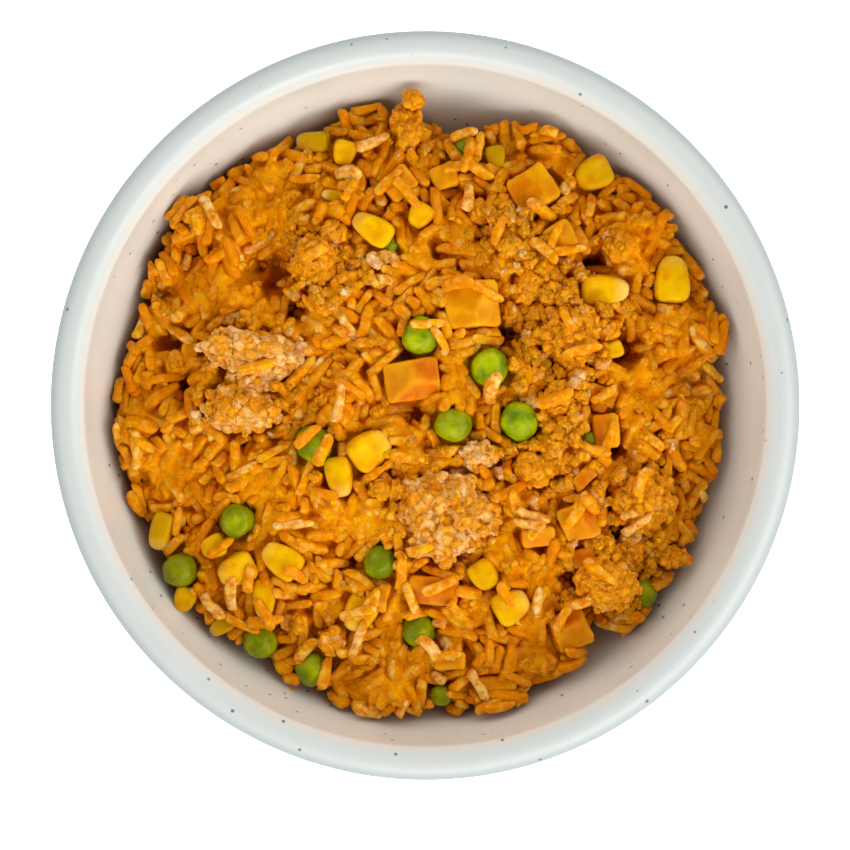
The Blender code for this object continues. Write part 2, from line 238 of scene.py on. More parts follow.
def podFaces(rings, sides):
    # a closed form: a point at one end, rings of points, and a point at the other end
    after = [(side + 1) % sides for side in range(sides)]
    faces = [(0, 1 + after[side], 1 + side) for side in range(sides)]
    last = 1 + (rings - 1) * sides
    for low in range(1, last, sides):
        faces += [(low + side, low + after[side], low + sides + after[side], low + sides + side)
                  for side in range(sides)]
    return faces + [(last + side, last + after[side], last + sides) for side in range(sides)]


def addPiece(name, mesh, material, nodes=()):
    piece = placeObject(name, mesh)
    mesh.name = name
    mesh.materials.clear()
    mesh.materials.append(material)
    mesh.polygons.foreach_set("material_index", [0] * len(mesh.polygons))
    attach(piece, "root")
    if nodes:
        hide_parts(*nodes)
    return piece


def pieceName(node):
    first, *others = node.split("_")
    return first + "".join(word.capitalize() for word in others)


def bumps(point, wavelength, shift=0.0):
    return noise.noise(Vector(point) / wavelength + Vector((shift, -shift, shift * 0.5)))


# Stage: camera straight above, soft light from the right, pale floor

stage = {
    "cameraHeight": 0.510,
    "cameraY": -0.00413,
    "focal": 2129 / 850 * 36,
    # each light: degrees round from +X, degrees up, distance, size, power and colour
    "lights": {
        "windowRight": (-32, 40, 0.75, (0.85, 0.6), 2.15, (1.0, 0.985, 0.96)),
        "fillNear": (-85, 30, 0.9, (0.7, 0.5), 2.0, (0.93, 0.97, 1.0)),
    },
    "aimHeight": 0.04,
    "roomColour": (0.97, 0.985, 1.0, 1.0),
    "roundAbout": 1.58,  # how bright the room is round about, and overhead
    "overhead": 0.3,
    "overheadFrom": (0.45, 0.98),
    "floorSize": 1.5,
    "floorGlow": 0.75,  # keeps the paper white in the picture alone
}


def makeStage():
    scene = bpy.context.scene
    scene.view_settings.view_transform = "Standard"
    camera = bpy.data.cameras.new("overhead")
    camera.lens = stage["focal"]
    camera.sensor_width = 36
    camera.clip_start = 0.01
    scene.camera = placeObject("overhead", camera)
    scene.camera.location = (0, stage["cameraY"], stage["cameraHeight"])

    for name, (direction, rise, distance, size, power, colour) in stage["lights"].items():
        light = bpy.data.lights.new(name, "AREA")
        light.shape = "RECTANGLE"
        light.size, light.size_y = size
        light.energy = power
        light.color = colour
        turn, up = math.radians(direction), math.radians(rise)
        aim = Vector((math.cos(turn) * math.cos(up), math.sin(turn) * math.cos(up), math.sin(up)))
        lamp = placeObject(name, light)
        lamp.location = aim * distance + Vector((0, 0, stage["aimHeight"]))
        lamp.rotation_euler = aim.to_track_quat("Z", "Y").to_euler()

    world = bpy.data.worlds.new("softRoom")
    world.use_nodes = True
    room = world.node_tree
    background = room.nodes["Background"]
    background.inputs["Color"].default_value = stage["roomColour"]
    way = addNode(room, "TexCoord").outputs["Generated"]
    up = addNode(room, "SeparateXYZ", {0: way}).outputs["Z"]
    room.links.new(spread(room, up, *stage["overheadFrom"], stage["roundAbout"], stage["overhead"]),
                   background.inputs["Strength"])
    scene.world = world

    bm = bmesh.new()
    bmesh.ops.create_grid(bm, x_segments=1, y_segments=1, size=stage["floorSize"])
    floor = placeObject("paleFloor", meshOf("paleFloor", bm))
    material, tree = newMaterial("floorPaper", Roughness=0.9, Base_Color=(0.9, 0.9, 0.9, 1),
                                 Emission_Color=(1, 1, 1, 1))
    seen = addNode(tree, "LightPath").outputs["Is Camera Ray"]
    finishSurface(tree, {"Emission Strength": multiply(tree, seen, stage["floorGlow"])})
    floor.data.materials.append(material)
    print("stage: camera, lights and floor")


# Shared effects

def moistSkinGroup():
    # uneven wetness: a roughness that wanders between two values, and a fine height
    tree, given = newTree("Shader", "moistSkin",
                          (("Scale", "Float", 300.0), ("Wet", "Float", 0.2), ("Dry", "Float", 0.5)),
                          (("Roughness", "Float"), ("Height", "Float")))
    where = objectPlace(tree)
    patches = noiseOf(tree, where, given["Scale"], 2.0)
    fine = noiseOf(tree, where, multiply(tree, given["Scale"], 4.5))
    drier = multiply(tree, spread(tree, patches, 0.35, 0.65),
                     addMath(tree, "SUBTRACT", given["Dry"], given["Wet"]))
    addNode(tree, "NodeGroupOutput", {"Roughness": addMath(tree, "ADD", drier, given["Wet"]),
                                      "Height": addMath(tree, "MULTIPLY_ADD", fine, 0.35, patches)})
    return tree


def sauceGroup():
    # orange sauce that has settled in patches, thicker where the amount is high
    tree, given = newTree("Shader", "settledSauce",
                          (("Color", "Color", (1, 1, 1, 1)), ("Sauce", "Color", paint(214, 118, 8)),
                           ("Amount", "Float", 0.4), ("Scale", "Float", 250.0)), (("Color", "Color"),))
    patches = noiseOf(tree, objectPlace(tree), given["Scale"], 3.0, 0.6)
    cover = spread(tree, addMath(tree, "ADD", patches, given["Amount"]), 0.75, 1.1)
    addNode(tree, "NodeGroupOutput", {"Color": mixColours(tree, cover, given["Color"], given["Sauce"])})
    return tree


def fleckGroup():
    # small round flecks at random places, of random size
    tree, given = newTree("Shader", "flecks",
                          (("Scale", "Float", 200.0), ("Size", "Float", 0.06), ("Share", "Float", 0.5)),
                          (("Mask", "Float"),))
    cells = addNode(tree, "TexVoronoi", {"Vector": objectPlace(tree), "Scale": given["Scale"]}).outputs
    inner = multiply(tree, given["Size"], 0.6)
    near = spread(tree, cells["Distance"], inner, given["Size"], 1.0, 0.0)
    number = addNode(tree, "SeparateColor", {0: cells["Color"]}).outputs[0]
    kept = addMath(tree, "LESS_THAN", number, given["Share"])
    addNode(tree, "NodeGroupOutput", {"Mask": multiply(tree, near, kept)})
    return tree


moistSkin = moistSkinGroup()
settledSauce = sauceGroup()
flecks = fleckGroup()


def finishFood(tree, colour, wetness, bump, sauce=None, relief=None):
    # wetness: scale, wettest and driest; bump: strength and distance; sauce: colour, amount and scale
    if sauce:
        tone, amount, scale = sauce
        colour = placeGroup(tree, settledSauce, Color=colour, Sauce=paint(*tone), Amount=amount,
                            Scale=scale)["Color"]
    skin = placeGroup(tree, moistSkin, Scale=wetness[0], Wet=wetness[1], Dry=wetness[2])
    finishSurface(tree, {"Base Color": colour, "Roughness": skin["Roughness"],
                         "Normal": addBump(tree, relief or skin["Height"], *bump)})


# Bowl

bowl = {
    "rimWidth": 7.3,
    "rimRound": 4.0,
    "insideFloor": 6.0,
    "insideRoundness": 2.4,
    "outsideFloor": 1.5,
    "outsideRoundness": 2.1,
    "footRadius": 36.0,
    "footWidth": 5.0,
    "footHeight": 5.0,
    "footHollow": 2.2,
    "turns": 256,
    "wallSteps": 26,
    "rimSteps": 14,
    "throwingRidge": 0.05,  # height of the faint rings left by turning
    "ridgeSpacing": 3.4,
    "wander": (55.0, 0.10),  # how the wall strays from round: wavelength and depth
    "glaze": (202, 205, 200),
    "glazeCloud": (196, 200, 195),
    # painted bounce light: the glaze inside is paler and warmer than on the rim
    "glazeInsideLit": (228, 226, 215),
    # painted shade over the outer edge of the rim
    "lipShade": (154, 163, 160),
    "lipShadeFrom": (3.2, 55.0),  # how far in the painted lip shade reaches, and down to which height
    "stainAndShadeSide": 166,  # the side, in degrees round from +X, where sauce stain and painted shadow and reflection darken the wall
    "stainAndShadeReach": 69.4,
    # colour of the sauce stain and painted shadow beside the food
    "stain": (116, 70, 0),
    "clay": (196, 178, 150),
    # flecks: scale, size, share of the cells, strength and colour
    "flecks": ((430.0, 0.075, 0.22, 0.55, (132, 120, 104)), (215.0, 0.11, 0.75, 0.9, (92, 76, 62))),
}
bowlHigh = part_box("bowl")[1] / mm
bowlRadius = bowlHigh.x
wallTop = bowlHigh.z - bowl["rimRound"]
wallDepth = wallTop - bowl["insideFloor"]
insideRadius = bowlRadius - bowl["rimWidth"]


def oval(share, power):
    return (1 - min(max(share, 0.0), 1.0) ** power) ** (1 / power)


def wallRadius(height):
    return insideRadius * oval((wallTop - height) / wallDepth, bowl["insideRoundness"])


def wallHeight(radius):
    return wallTop - wallDepth * oval(radius / insideRadius, bowl["insideRoundness"])


def quarter(across, down, power, steps):
    turns = [step / steps * math.pi / 2 for step in range(steps + 1)]
    return [(across * math.cos(t) ** (2 / power), down * math.sin(t) ** (2 / power)) for t in turns]


def bowlProfile():
    inside = quarter(insideRadius, wallDepth, bowl["insideRoundness"], bowl["wallSteps"])
    profile = [(x, wallTop - down) for x, down in reversed(inside)]
    profile[0] = (0.0, bowl["insideFloor"])
    halfRim = bowl["rimWidth"] / 2
    for step in range(1, bowl["rimSteps"]):
        turn = math.pi * (1 - step / bowl["rimSteps"])
        profile.append((bowlRadius - halfRim + halfRim * math.cos(turn),
                        wallTop + bowl["rimRound"] * math.sin(turn)))
    foot, inner, hollow = bowl["footRadius"], bowl["footRadius"] - bowl["footWidth"], bowl["footHollow"]
    outside = quarter(bowlRadius, wallTop - bowl["outsideFloor"], bowl["outsideRoundness"], bowl["wallSteps"])
    profile += [(x, wallTop - down) for x, down in outside if x > foot + 1.2]
    return profile + [(foot + 0.5, bowl["footHeight"]), (foot, bowl["footHeight"] - 0.8), (foot - 0.4, 0.5),
                      (foot - 0.9, 0.0), (inner + 0.5, 0.0), (inner, 0.5), (inner - 0.6, hollow - 0.3),
                      (inner - 1.4, hollow), (0.0, hollow)]


def makeBowl():
    bm = bmesh.new()
    corners = [bm.verts.new((x * mm, 0, z * mm)) for x, z in bowlProfile()]
    for ends in zip(corners, corners[1:]):
        bm.edges.new(ends)
    turned = placeObject("turned", meshOf("bowlProfile", bm))
    screw = turned.modifiers.new("turned", "SCREW")
    screw.steps = screw.render_steps = bowl["turns"]
    screw.use_merge_vertices = True
    screw.merge_threshold = 0.01 * mm
    body = bakeModifiers(turned)
    bpy.data.objects.remove(turned)
    # hand-turned: faint rings, and a wall that wanders by tenths of a millimetre
    wavelength, depth = bowl["wander"]
    for vert in body.vertices:
        x, y, z = vert.co / mm
        radius = math.hypot(x, y)
        if radius < 20 or z < 6:
            continue
        wander = depth * (bumps((x, y, z), wavelength, 3.0) - 1)
        ridge = bowl["throwingRidge"] * (math.sin(z / bowl["ridgeSpacing"] * math.tau) - 1)
        scale = (radius + wander + ridge) / radius
        vert.co.x *= scale
        vert.co.y *= scale
    body.shade_smooth()
    # inside, a paler warmer glaze is painted bounce light from the food; over the rim's outer edge, painted
    # shade
    points, facing = meshPoints(body) / mm, meshNormals(body)
    radius = np.hypot(points[:, 0], points[:, 1])
    outward = (points[:, :2] * facing[:, :2]).sum(1) / np.maximum(radius, 1)
    edge = insideRadius + 1.2
    inside = (points[:, 2] > 5) & (radius < edge) & (outward < 0.1)
    reach, height = bowl["lipShadeFrom"]
    setAttribute(body, "inside", inside * np.clip((edge - radius) / 1.6, 0, 1))
    setAttribute(body, "lip", np.clip((radius - bowlRadius + reach) / 2.6, 0, 1)
                 * np.clip((points[:, 2] - height) / 1.6, 0, 1))
    # sauce stain on the wall near the food, with painted shadow and painted reflection of the food, strongest
    # on one side
    angle = np.arctan2(points[:, 1], points[:, 0])
    side = np.clip(np.cos(angle - math.radians(bowl["stainAndShadeSide"])), 0, 1) ** 1.5
    stainAndShadeEdge = np.minimum(outlineRadius(angle), bowl["stainAndShadeReach"])
    past = np.clip((radius - stainAndShadeEdge + 0.4) / (1.6 + 0.7 * side), 0, 1)
    setAttribute(body, "stain", inside * (1 - past * past * (3 - 2 * past)) * (0.5 + 0.5 * side))
    addPiece("glazedBowl", body, glazeMaterial(), ["bowl"])
    print("bowl:", len(body.polygons), "faces")


def glazeMaterial():
    material, tree = newMaterial("speckledGlaze", Coat_Roughness=0.15)
    where = objectPlace(tree)
    cloud = noiseOf(tree, where, 34.0)
    lip, inside = attributeOf(tree, "lip"), attributeOf(tree, "inside")
    shade = mixColours(tree, cloud, bowl["glaze"], bowl["glazeCloud"])
    # darker over the rim's outer edge: painted shade
    shade = mixColours(tree, lip, shade, bowl["lipShade"])
    # paler and warmer inside: painted bounce light from the food
    shade = mixColours(tree, inside, shade, bowl["glazeInsideLit"])
    # sauce stain with painted shadow and reflection of the food, broken into patches
    smudge = spread(tree, noiseOf(tree, where, 160.0), 0.2, 0.55, 0.7, 1.0)
    stain = multiply(tree, attributeOf(tree, "stain"), smudge)
    shade = mixColours(tree, stain, shade, bowl["stain"])
    for scale, size, share, strength, colour in bowl["flecks"]:
        mask = placeGroup(tree, flecks, Scale=scale, Size=size, Share=share)["Mask"]
        shade = mixColours(tree, multiply(tree, mask, strength), shade, colour)
    # the foot ring is left unglazed
    height = addNode(tree, "SeparateXYZ", {0: where}).outputs["Z"]
    bare = spread(tree, height, 0.9 * mm, 0.4 * mm)
    rough = placeGroup(tree, moistSkin, Scale=60.0, Wet=0.3, Dry=0.42)["Roughness"]
    finishSurface(tree, {
        "Base Color": mixColours(tree, bare, shade, bowl["clay"]),
        "Roughness": addNode(tree, "Mix", {0: bare, 2: rough, 3: 0.8}).outputs[0],
        "Coat Weight": spread(tree, addMath(tree, "ADD", lip, inside), 0.0, 0.7, 0.35, 0.0),
        "Normal": addBump(tree, cloud, 0.12, 0.4)})
    return material


# Heap: where its surface is wanted, on a grid seen from above

heap = {
    "cell": 0.25,
    "reach": 74.0,
    "crown": 45.5,
    "shoulder": 36.5,
    "fall": 3.0,
    # how far the loose rice reaches, one radius every 7.5 degrees from +X round by +Y
    "radii": (66.8, 65.5, 70.0, 68.5, 69.8, 69.5, 69.6, 68.5, 68.0, 67.6, 65.0, 58.5,
              65.0, 68.5, 68.8, 67.4, 67.0, 68.6, 68.6, 70.6, 70.0, 67.8, 67.4, 68.4,
              69.6, 71.4, 69.0, 68.4, 69.4, 69.0, 70.2, 68.1, 68.3, 68.8, 69.7, 71.6,
              68.2, 69.5, 70.9, 68.8, 66.8, 61.8, 71.0, 66.6, 67.8, 65.6, 66.2, 66.8),
    "inset": 3.4,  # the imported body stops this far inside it
    "relief": ((14.0, 2.4), (6.0, 0.9)),
    "billow": (12.0, 5.2),  # width and height of the rounded clumps, which meet in sharp folds
    "edgeDrop": 1.4,
    # x, y, radius, height of the larger clumps
    "clumps": ((-46, 40, 11, 3.0), (-44, 25, 10, 2.0), (-36, 49, 8, 1.8), (-17, 43, 9, 1.2),
               (57, 15, 9, 3.2), (57, -7, 10, 3.0), (47, 37, 9, 2.2), (-58, -6, 9, 1.8),
               (22, 46, 8, 1.4), (28, -6, 8, 1.6), (-24, -24, 10, 1.2), (-2, 28, 8, 1.0),
               (-54, 42, 8, 4.5), (-66, -8, 8, 5.0), (-65, 9, 7, 4.0), (-9, -67, 8, 4.0), (66, 17, 8, 4.5),
               (64, -17, 7, 3.0), (26, 62, 7, 3.5), (50, 43, 8, 3.0), (17.5, -66, 8, 4.0), (34, -58, 6, 2.5),
               (-60, 30, 7, 2.5), (-58, -36, 7, 2.0)),
    # x, y, radius, depth of the dark gaps between them
    "gaps": ((13.0, 37.2, 3.0, 5), (3.5, 34.3, 2.4, 4), (-11.7, 49.6, 2.2, 3), (37.4, 31.5, 3.0, 6),
             (-53.1, 4.3, 3.2, 7), (-28.7, 21.1, 3.6, 6), (-39.1, -8.4, 2.4, 4), (-12.4, 7.6, 2.2, 4),
             (-34.0, 29.0, 7.0, 2.6),
             (18.6, 15.0, 3.4, 6), (-2.4, -2.5, 2.4, 4), (44.2, 12.2, 4.2, 7), (26.0, 9.5, 3.0, 6),
             (41.6, -8.8, 3.6, 7), (-16.4, -34.0, 2.4, 4), (42.0, -28.8, 3.0, 5), (36.0, -45.0, 3.0, 6),
             (33.2, -38.0, 2.6, 5), (-50.0, 33.0, 2.6, 4), (-57.0, 14.0, 3.0, 5), (-31.0, 13.5, 2.4, 4)),
}
gridSide = int(2 * heap["reach"] / heap["cell"]) + 1
gridLine = np.linspace(-heap["reach"], heap["reach"], gridSide)
gridX, gridY = np.meshgrid(gridLine, gridLine)


def outlineRadius(angle):
    radii = np.array(heap["radii"])
    place = (angle / math.tau % 1) * len(radii)
    before = np.floor(place).astype(int)
    share = place - before
    eased = share * share * (3 - 2 * share)
    return radii[before % len(radii)] * (1 - eased) + radii[(before + 1) % len(radii)] * eased


def bodyRadius(angle):
    return np.minimum(outlineRadius(angle) - heap["inset"], 66.8)


gridRadius, gridAngle = np.hypot(gridX, gridY), np.arctan2(gridY, gridX)
outlineShare = gridRadius / bodyRadius(gridAngle)
looseShare = gridRadius / outlineRadius(gridAngle)


def withNeighbours(values):
    # each cell and its four neighbours
    around = np.pad(values, 1, mode="edge")
    return values, around[:-2, 1:-1], around[2:, 1:-1], around[1:-1, :-2], around[1:-1, 2:]


def softened(values, times):
    for _ in range(times):
        values = sum(withNeighbours(values)) / 5
    return values


def closed(values, reach):
    # narrow hollows are filled up to what stands beside them
    for pick in (np.maximum, np.minimum):
        for _ in range(reach):
            values = pick.reduce(withNeighbours(values))
    return values


def domeHeight(share):
    return heap["shoulder"] + (heap["crown"] - heap["shoulder"]) * (1 - np.minimum(share, 1) ** heap["fall"])


def crownHeight(x, y):
    height = domeHeight(math.hypot(x, y) / float(bodyRadius(np.array(math.atan2(y, x)))))
    return height + sum(size * noise.noise(Vector((x, y, 0)) / wavelength)
                        for wavelength, size in heap["relief"])


def mound(x, y, radius):
    # 1 over a place, falling to 0 at the radius round it
    return np.clip(1 - (np.hypot(gridX - x, gridY - y) / radius) ** 2, 0, 1)


def wantedSurface(covered):
    height = domeHeight(outlineShare)
    rows, columns = np.nonzero(outlineShare < 1.08)
    spots = [(gridLine[column], gridLine[row], 0) for row, column in zip(rows, columns)]
    # clumps fade where a topping lies, so that it keeps its seat
    wavelength, size = heap["billow"]
    apart = 1 - np.clip(softened(covered.astype(float), 90) * 2.2, 0, 1)
    folds = np.array([abs(bumps(spot, wavelength, 4.0)) for spot in spots])
    height[rows, columns] += (size * np.minimum(folds, 0.5) - 0.2 * size) * apart[rows, columns]
    for wavelength, size in heap["relief"]:
        relief = [noise.noise(Vector((x / wavelength, y / wavelength, 0))) for x, y, _ in spots]
        height[rows, columns] += size * np.array(relief)
    for x, y, radius, rise in heap["clumps"]:
        height += rise * mound(x, y, radius)
    for x, y, radius, depth in heap["gaps"]:
        height -= depth * mound(x, y, radius * 1.25)
    return height - heap["edgeDrop"] * np.minimum(looseShare, 1) ** 14


def cellsOf(x, y):
    return tuple(np.clip(((np.asarray(place) + heap["reach"]) / heap["cell"]).round().astype(int),
                         0, gridSide - 1) for place in (y, x))


def nodePoints(name):
    return vectorsOf(frame["nodes"][name].data.vertices, "co").astype(np.float32) / mm


def toppingHeights(pieces):
    # the highest and lowest point of the toppings over each cell of the grid
    top = np.zeros_like(gridX)
    foot = np.full_like(gridX, 99.0)
    graph = bpy.context.evaluated_depsgraph_get()
    for piece in pieces:
        tree = BVHTree.FromObject(piece, graph)
        points = meshPoints(piece.data) / mm
        lowRow, lowColumn = cellsOf(*points.min(0)[:2])
        highRow, highColumn = cellsOf(*points.max(0)[:2])
        for row in range(lowRow, highRow + 1):
            for column in range(lowColumn, highColumn + 1):
                spot = Vector((gridLine[column], gridLine[row], 0)) * mm
                above = tree.ray_cast(spot + Vector((0, 0, 0.09)), Vector((0, 0, -1)))[0]
                if above is None:
                    continue
                below = tree.ray_cast(spot, Vector((0, 0, 1)))[0] or above
                top[row, column] = max(top[row, column], above.z / mm)
                foot[row, column] = min(foot[row, column], below.z / mm)
    return top, foot


# Rice

rice = {
    "length": (6.0, 9.2),
    "broken": (3.2, 5.0),
    "brokenShare": 0.2,
    "width": (2.0, 2.6),
    "flat": 0.84,  # a grain's thickness as a share of its width
    "buried": 1300,
    "loose": 1450,
    "tries": 1500,  # laying stops after so many misses in a row
    "picks": 9,  # places drawn for each grain, which goes to the one that lacks most
    "highest": 1.6,  # how far a grain's middle may stand over the wanted surface
    "wallGap": 0.3,  # how far grains stay off the bowl
    "side": 260,
    "sideTries": 9000,
    "sideApart": 2.5,
    "roll": 0.4,
    "paleOnes": 0.05,  # share of the loose grains that are as pale as those placed to catch the eye
    "propped": (0.3, 0.45),  # share of the grains with one end up, and how far
    "buriedBelow": 3.1,  # the buried layer's top, under the wanted surface
    "bedBelow": 6.0,
    "fillBelow": (0.18, 0.92),  # how far the sauce and mash between the grains stays under their tops
    "sink": 0.22,  # share of its thickness that a grain settles into what it lies on
    "steepest": 0.75,
    "seed": 21,
    "shortestPlaced": 6.4,  # of the grains placed one by one
    "plump": 1.04,  # how much thicker loose bits are than the room they were given
    # name, bend, bluntness, slant of the ends, where one side is flattened, how much one end narrows
    "kinds": (("grainA", 0.05, 8.0, 0.06, 0.9, 0.2), ("grainB", 0.12, 12.0, -0.1, 0.8, 0.05),
              ("grainC", -0.08, 7.0, 0.12, 0.85, 0.25), ("grainD", 0.02, 16.0, 0.2, 0.85, 0.0),
              ("grainE", 0.15, 9.0, 0.04, 0.85, 0.1), ("grainF", -0.03, 10.0, -0.14, 0.9, 0.15),
              ("grainG", -0.14, 14.0, 0.1, 0.85, 0.05), ("grainH", 0.08, 6.0, 0.0, 0.8, 0.3)),
    "coreSide": 290,  # squares along each side of the core's top
    "coreClear": 0.7,  # how far the core stays off the bowl
    # the rings down the core's side and in underneath, as shares of its outline
    "coreRings": (1.0, 1.0, 1.0, 1.0, 1.0, 0.97, 0.85, 0.7, 0.5, 0.3, 0.12),
    "smearKinds": (("smearA", 3.0), ("smearB", 7.0)),
    # sauce on the wall beside the food: angle, distance from the middle, length, width and turn
    "smears": ((242.8, 68.4, 2.6, 1.6, 60), (244.6, 69.6, 1.4, 1.0, 20)),
}
# x, y, heading of the pale grains that catch the eye, and of grains that lie over a topping
paleGrains = ((-46.8, 42.3, -62), (-16.8, 51.1, -4), (-11.5, 58.0, 25), (-18.6, 0.8, 80), (-46.8, -44.2, -48),
              (-42.5, -41.2, 88), (-14.6, -51.2, 70), (1.0, -52.6, -50), (24.7, -42.9, 86), (9.5, 45.6, 88),
              (23.2, -24.0, -20), (22.6, -25.8, -14), (11.7, -61.4, -62), (46.2, -26.0, 35), (14.5, 3.8, 78))
overGrains = ((0.6, 17.6, 4), (3.4, 14.2, -58), (-1.0, -31.0, 20), (30.5, 19.0, -70), (34.0, 12.0, 12),
              (47.0, -16.5, 70), (-36.0, 8.5, 15), (38.0, -36.0, -35), (13.6, 24.6, -30), (7.0, 26.5, 10),
              (16.0, 38.0, 70), (8.6, 59.8, 15), (11.8, 57.2, 80), (6.2, 56.4, -60), (-24.0, 33.0, 35),
              (28.0, 1.5, 20), (8.0, 53.0, 20), (11.5, 52.2, -35), (9.5, 54.6, 75), (33.0, -23.0, 60),
              (-22.0, -9.5, 65), (-25.4, -6.5, 40), (25.5, 43.0, -30), (-12.5, -43.5, 50), (17.5, -41.0, -60),
              (28.5, 37.4, 65), (31.5, 34.0, 10), (26.0, 34.0, -40), (40.0, -7.0, 70), (37.0, -9.6, -20),
              (39.0, 2.4, 30), (-8.0, 49.0, 40), (-4.0, 46.5, -50),
              (3.5, -39.0, 25), (-3.0, -42.0, -70), (33.5, -43.0, 15), (30.0, -46.5, 60), (36.0, -21.5, -50),
              (24.0, -26.4, 60), (4.5, -54.6, 10), (-40.2, -48.0, -25), (-35.0, -47.2, 10),
              (-26.4, -53.8, 50), (-38.4, -37.8, 80), (-35.0, -45.4, -60), (-28.2, -36.6, -35),
              (-54.6, -25.4, 80), (-44.6, -31.0, 35), (-14.6, -45.0, 15), (-22.0, -58.6, 75))


def restGrain(ground, x, y, heading, length, thick, sink):
    # a grain lies on the two points that hold it up on either side of its middle
    along = np.array((math.cos(heading), math.sin(heading)))
    steps = np.linspace(-0.45, 0.45, 9) * length
    over = np.array((-0.3, 0.0, 0.3)) * thick
    px = x + steps[:, None] * along[0] - over[None, :] * along[1]
    py = y + steps[:, None] * along[1] + over[None, :] * along[0]
    heights = ground[cellsOf(px, py)].max(axis=1)
    left, right = heights[:4, None], heights[None, 5:]
    leftStep, rightStep = steps[:4, None], steps[None, 5:]
    level = (left * rightStep - right * leftStep) / (rightStep - leftStep)
    best = np.unravel_index(np.argmax(level), level.shape)
    slope = (right[0, best[1]] - left[best[0], 0]) / (rightStep[0, best[1]] - leftStep[best[0], 0])
    slope = float(np.clip(slope, -rice["steepest"], rice["steepest"]))
    held = heights - slope * steps
    base = 0.72 * held.max() + 0.28 * held.mean()
    return base + thick * (0.5 - sink), slope


def stampGrain(ground, x, y, z, heading, slope, length, width, thick):
    reach = length / 2 + width
    lowRow, lowColumn = cellsOf(x - reach, y - reach)
    highRow, highColumn = cellsOf(x + reach, y + reach)
    rows, columns = slice(lowRow, highRow + 1), slice(lowColumn, highColumn + 1)
    dx, dy = gridX[rows, columns] - x, gridY[rows, columns] - y
    along = dx * math.cos(heading) + dy * math.sin(heading)
    across = dy * math.cos(heading) - dx * math.sin(heading)
    room = 1 - np.abs(2 * along / length) ** 2.6
    half = width / 2 * np.sqrt(np.clip(room, 0, 1))
    inside = (room > 0) & (np.abs(across) < half)
    share = np.where(inside, across / np.maximum(half, 1e-6), 1)
    rise = thick / 2 * np.sqrt(np.clip(1 - share ** 2, 0, 1)) * np.sqrt(np.clip(room, 0, 1))
    top = z + slope * along + rise
    patch = ground[rows, columns]
    patch[inside] = np.maximum(patch[inside], top[inside])


def offWall(x, y, z, thick):
    return math.hypot(x, y) + thick / 2 + rice["wallGap"] <= wallRadius(z - thick / 2)


def clearOfBowl(x, y, z, heading, slope, length, thick):
    return all(offWall(x + math.cos(heading) * length * end, y + math.sin(heading) * length * end,
                       z + slope * length * end, thick) for end in (-0.5, 0.5))


def grainSize(rng):
    span = rice["broken"] if rng.random() < rice["brokenShare"] else rice["length"]
    width = rng.uniform(*rice["width"])
    return rng.uniform(*span), width, width * rice["flat"]


def layGrains(ground, wanted, covered, count, rng, slack, share=0.12):
    # each grain falls where the heap lacks most, among a few places drawn at random
    rows, columns = np.nonzero(looseShare < 0.985)
    laid = []
    misses = 0
    while len(laid) < count and misses < rice["tries"]:
        misses += 1
        picks = rng.integers(len(rows), size=rice["picks"])
        lack = wanted[rows[picks], columns[picks]] - ground[rows[picks], columns[picks]]
        best = picks[int(np.argmax(lack))]
        length, width, thick = grainSize(rng)
        heading = rng.uniform(0, math.pi)
        if lack.max() < slack:
            continue
        x = gridLine[columns[best]] + rng.uniform(-0.1, 0.1)
        y = gridLine[rows[best]] + rng.uniform(-0.1, 0.1)
        steps = np.linspace(-0.5, 0.5, 7) * length
        if covered[cellsOf(x + steps * math.cos(heading), y + steps * math.sin(heading))].mean() > share:
            continue
        z, slope = restGrain(ground, x, y, heading, length, thick, rice["sink"])
        if rng.random() < rice["propped"][0]:
            prop = rng.uniform(-1, 1) * rice["propped"][1]
            slope += prop
            z += abs(prop) * length * 0.18
        if (z > wanted[rows[best], columns[best]] + rice["highest"]
                or not clearOfBowl(x, y, z, heading, slope, length, thick)):
            continue
        stampGrain(ground, x, y, z, heading, slope, length, width, thick)
        laid.append((x, y, z, heading, slope, length, width, thick))
        misses = 0
    return laid


def sideGrains(rng):
    # grains that lie against the heap's side, down to where it meets the bowl
    laid = []
    tries = 0
    while len(laid) < rice["side"] and tries < rice["sideTries"]:
        tries += 1
        angle = rng.uniform(0, math.tau)
        around = float(bodyRadius(np.array(angle)))
        foot = wallHeight(around + 1.5) + 1.6
        z = rng.uniform(foot, max(heap["shoulder"] - 1.0, foot + 0.5))
        length, width, thick = grainSize(rng)
        out = around - 0.2 + rng.uniform(-0.3, 0.9)
        middle = Vector((out * math.cos(angle), out * math.sin(angle), z))
        turn = rng.normal(0, 0.55)
        along = Vector((-math.sin(angle) * math.cos(turn), math.cos(angle) * math.cos(turn), math.sin(turn)))
        ends = [middle + along * length * end for end in (-0.5, 0, 0.5)]
        if not all(offWall(*end, thick) for end in ends):
            continue
        if any((middle - other[0]).length < rice["sideApart"] for other in laid):
            continue
        laid.append((middle, along, Vector((math.cos(angle), math.sin(angle), 0)), (length, width, thick)))
    return laid


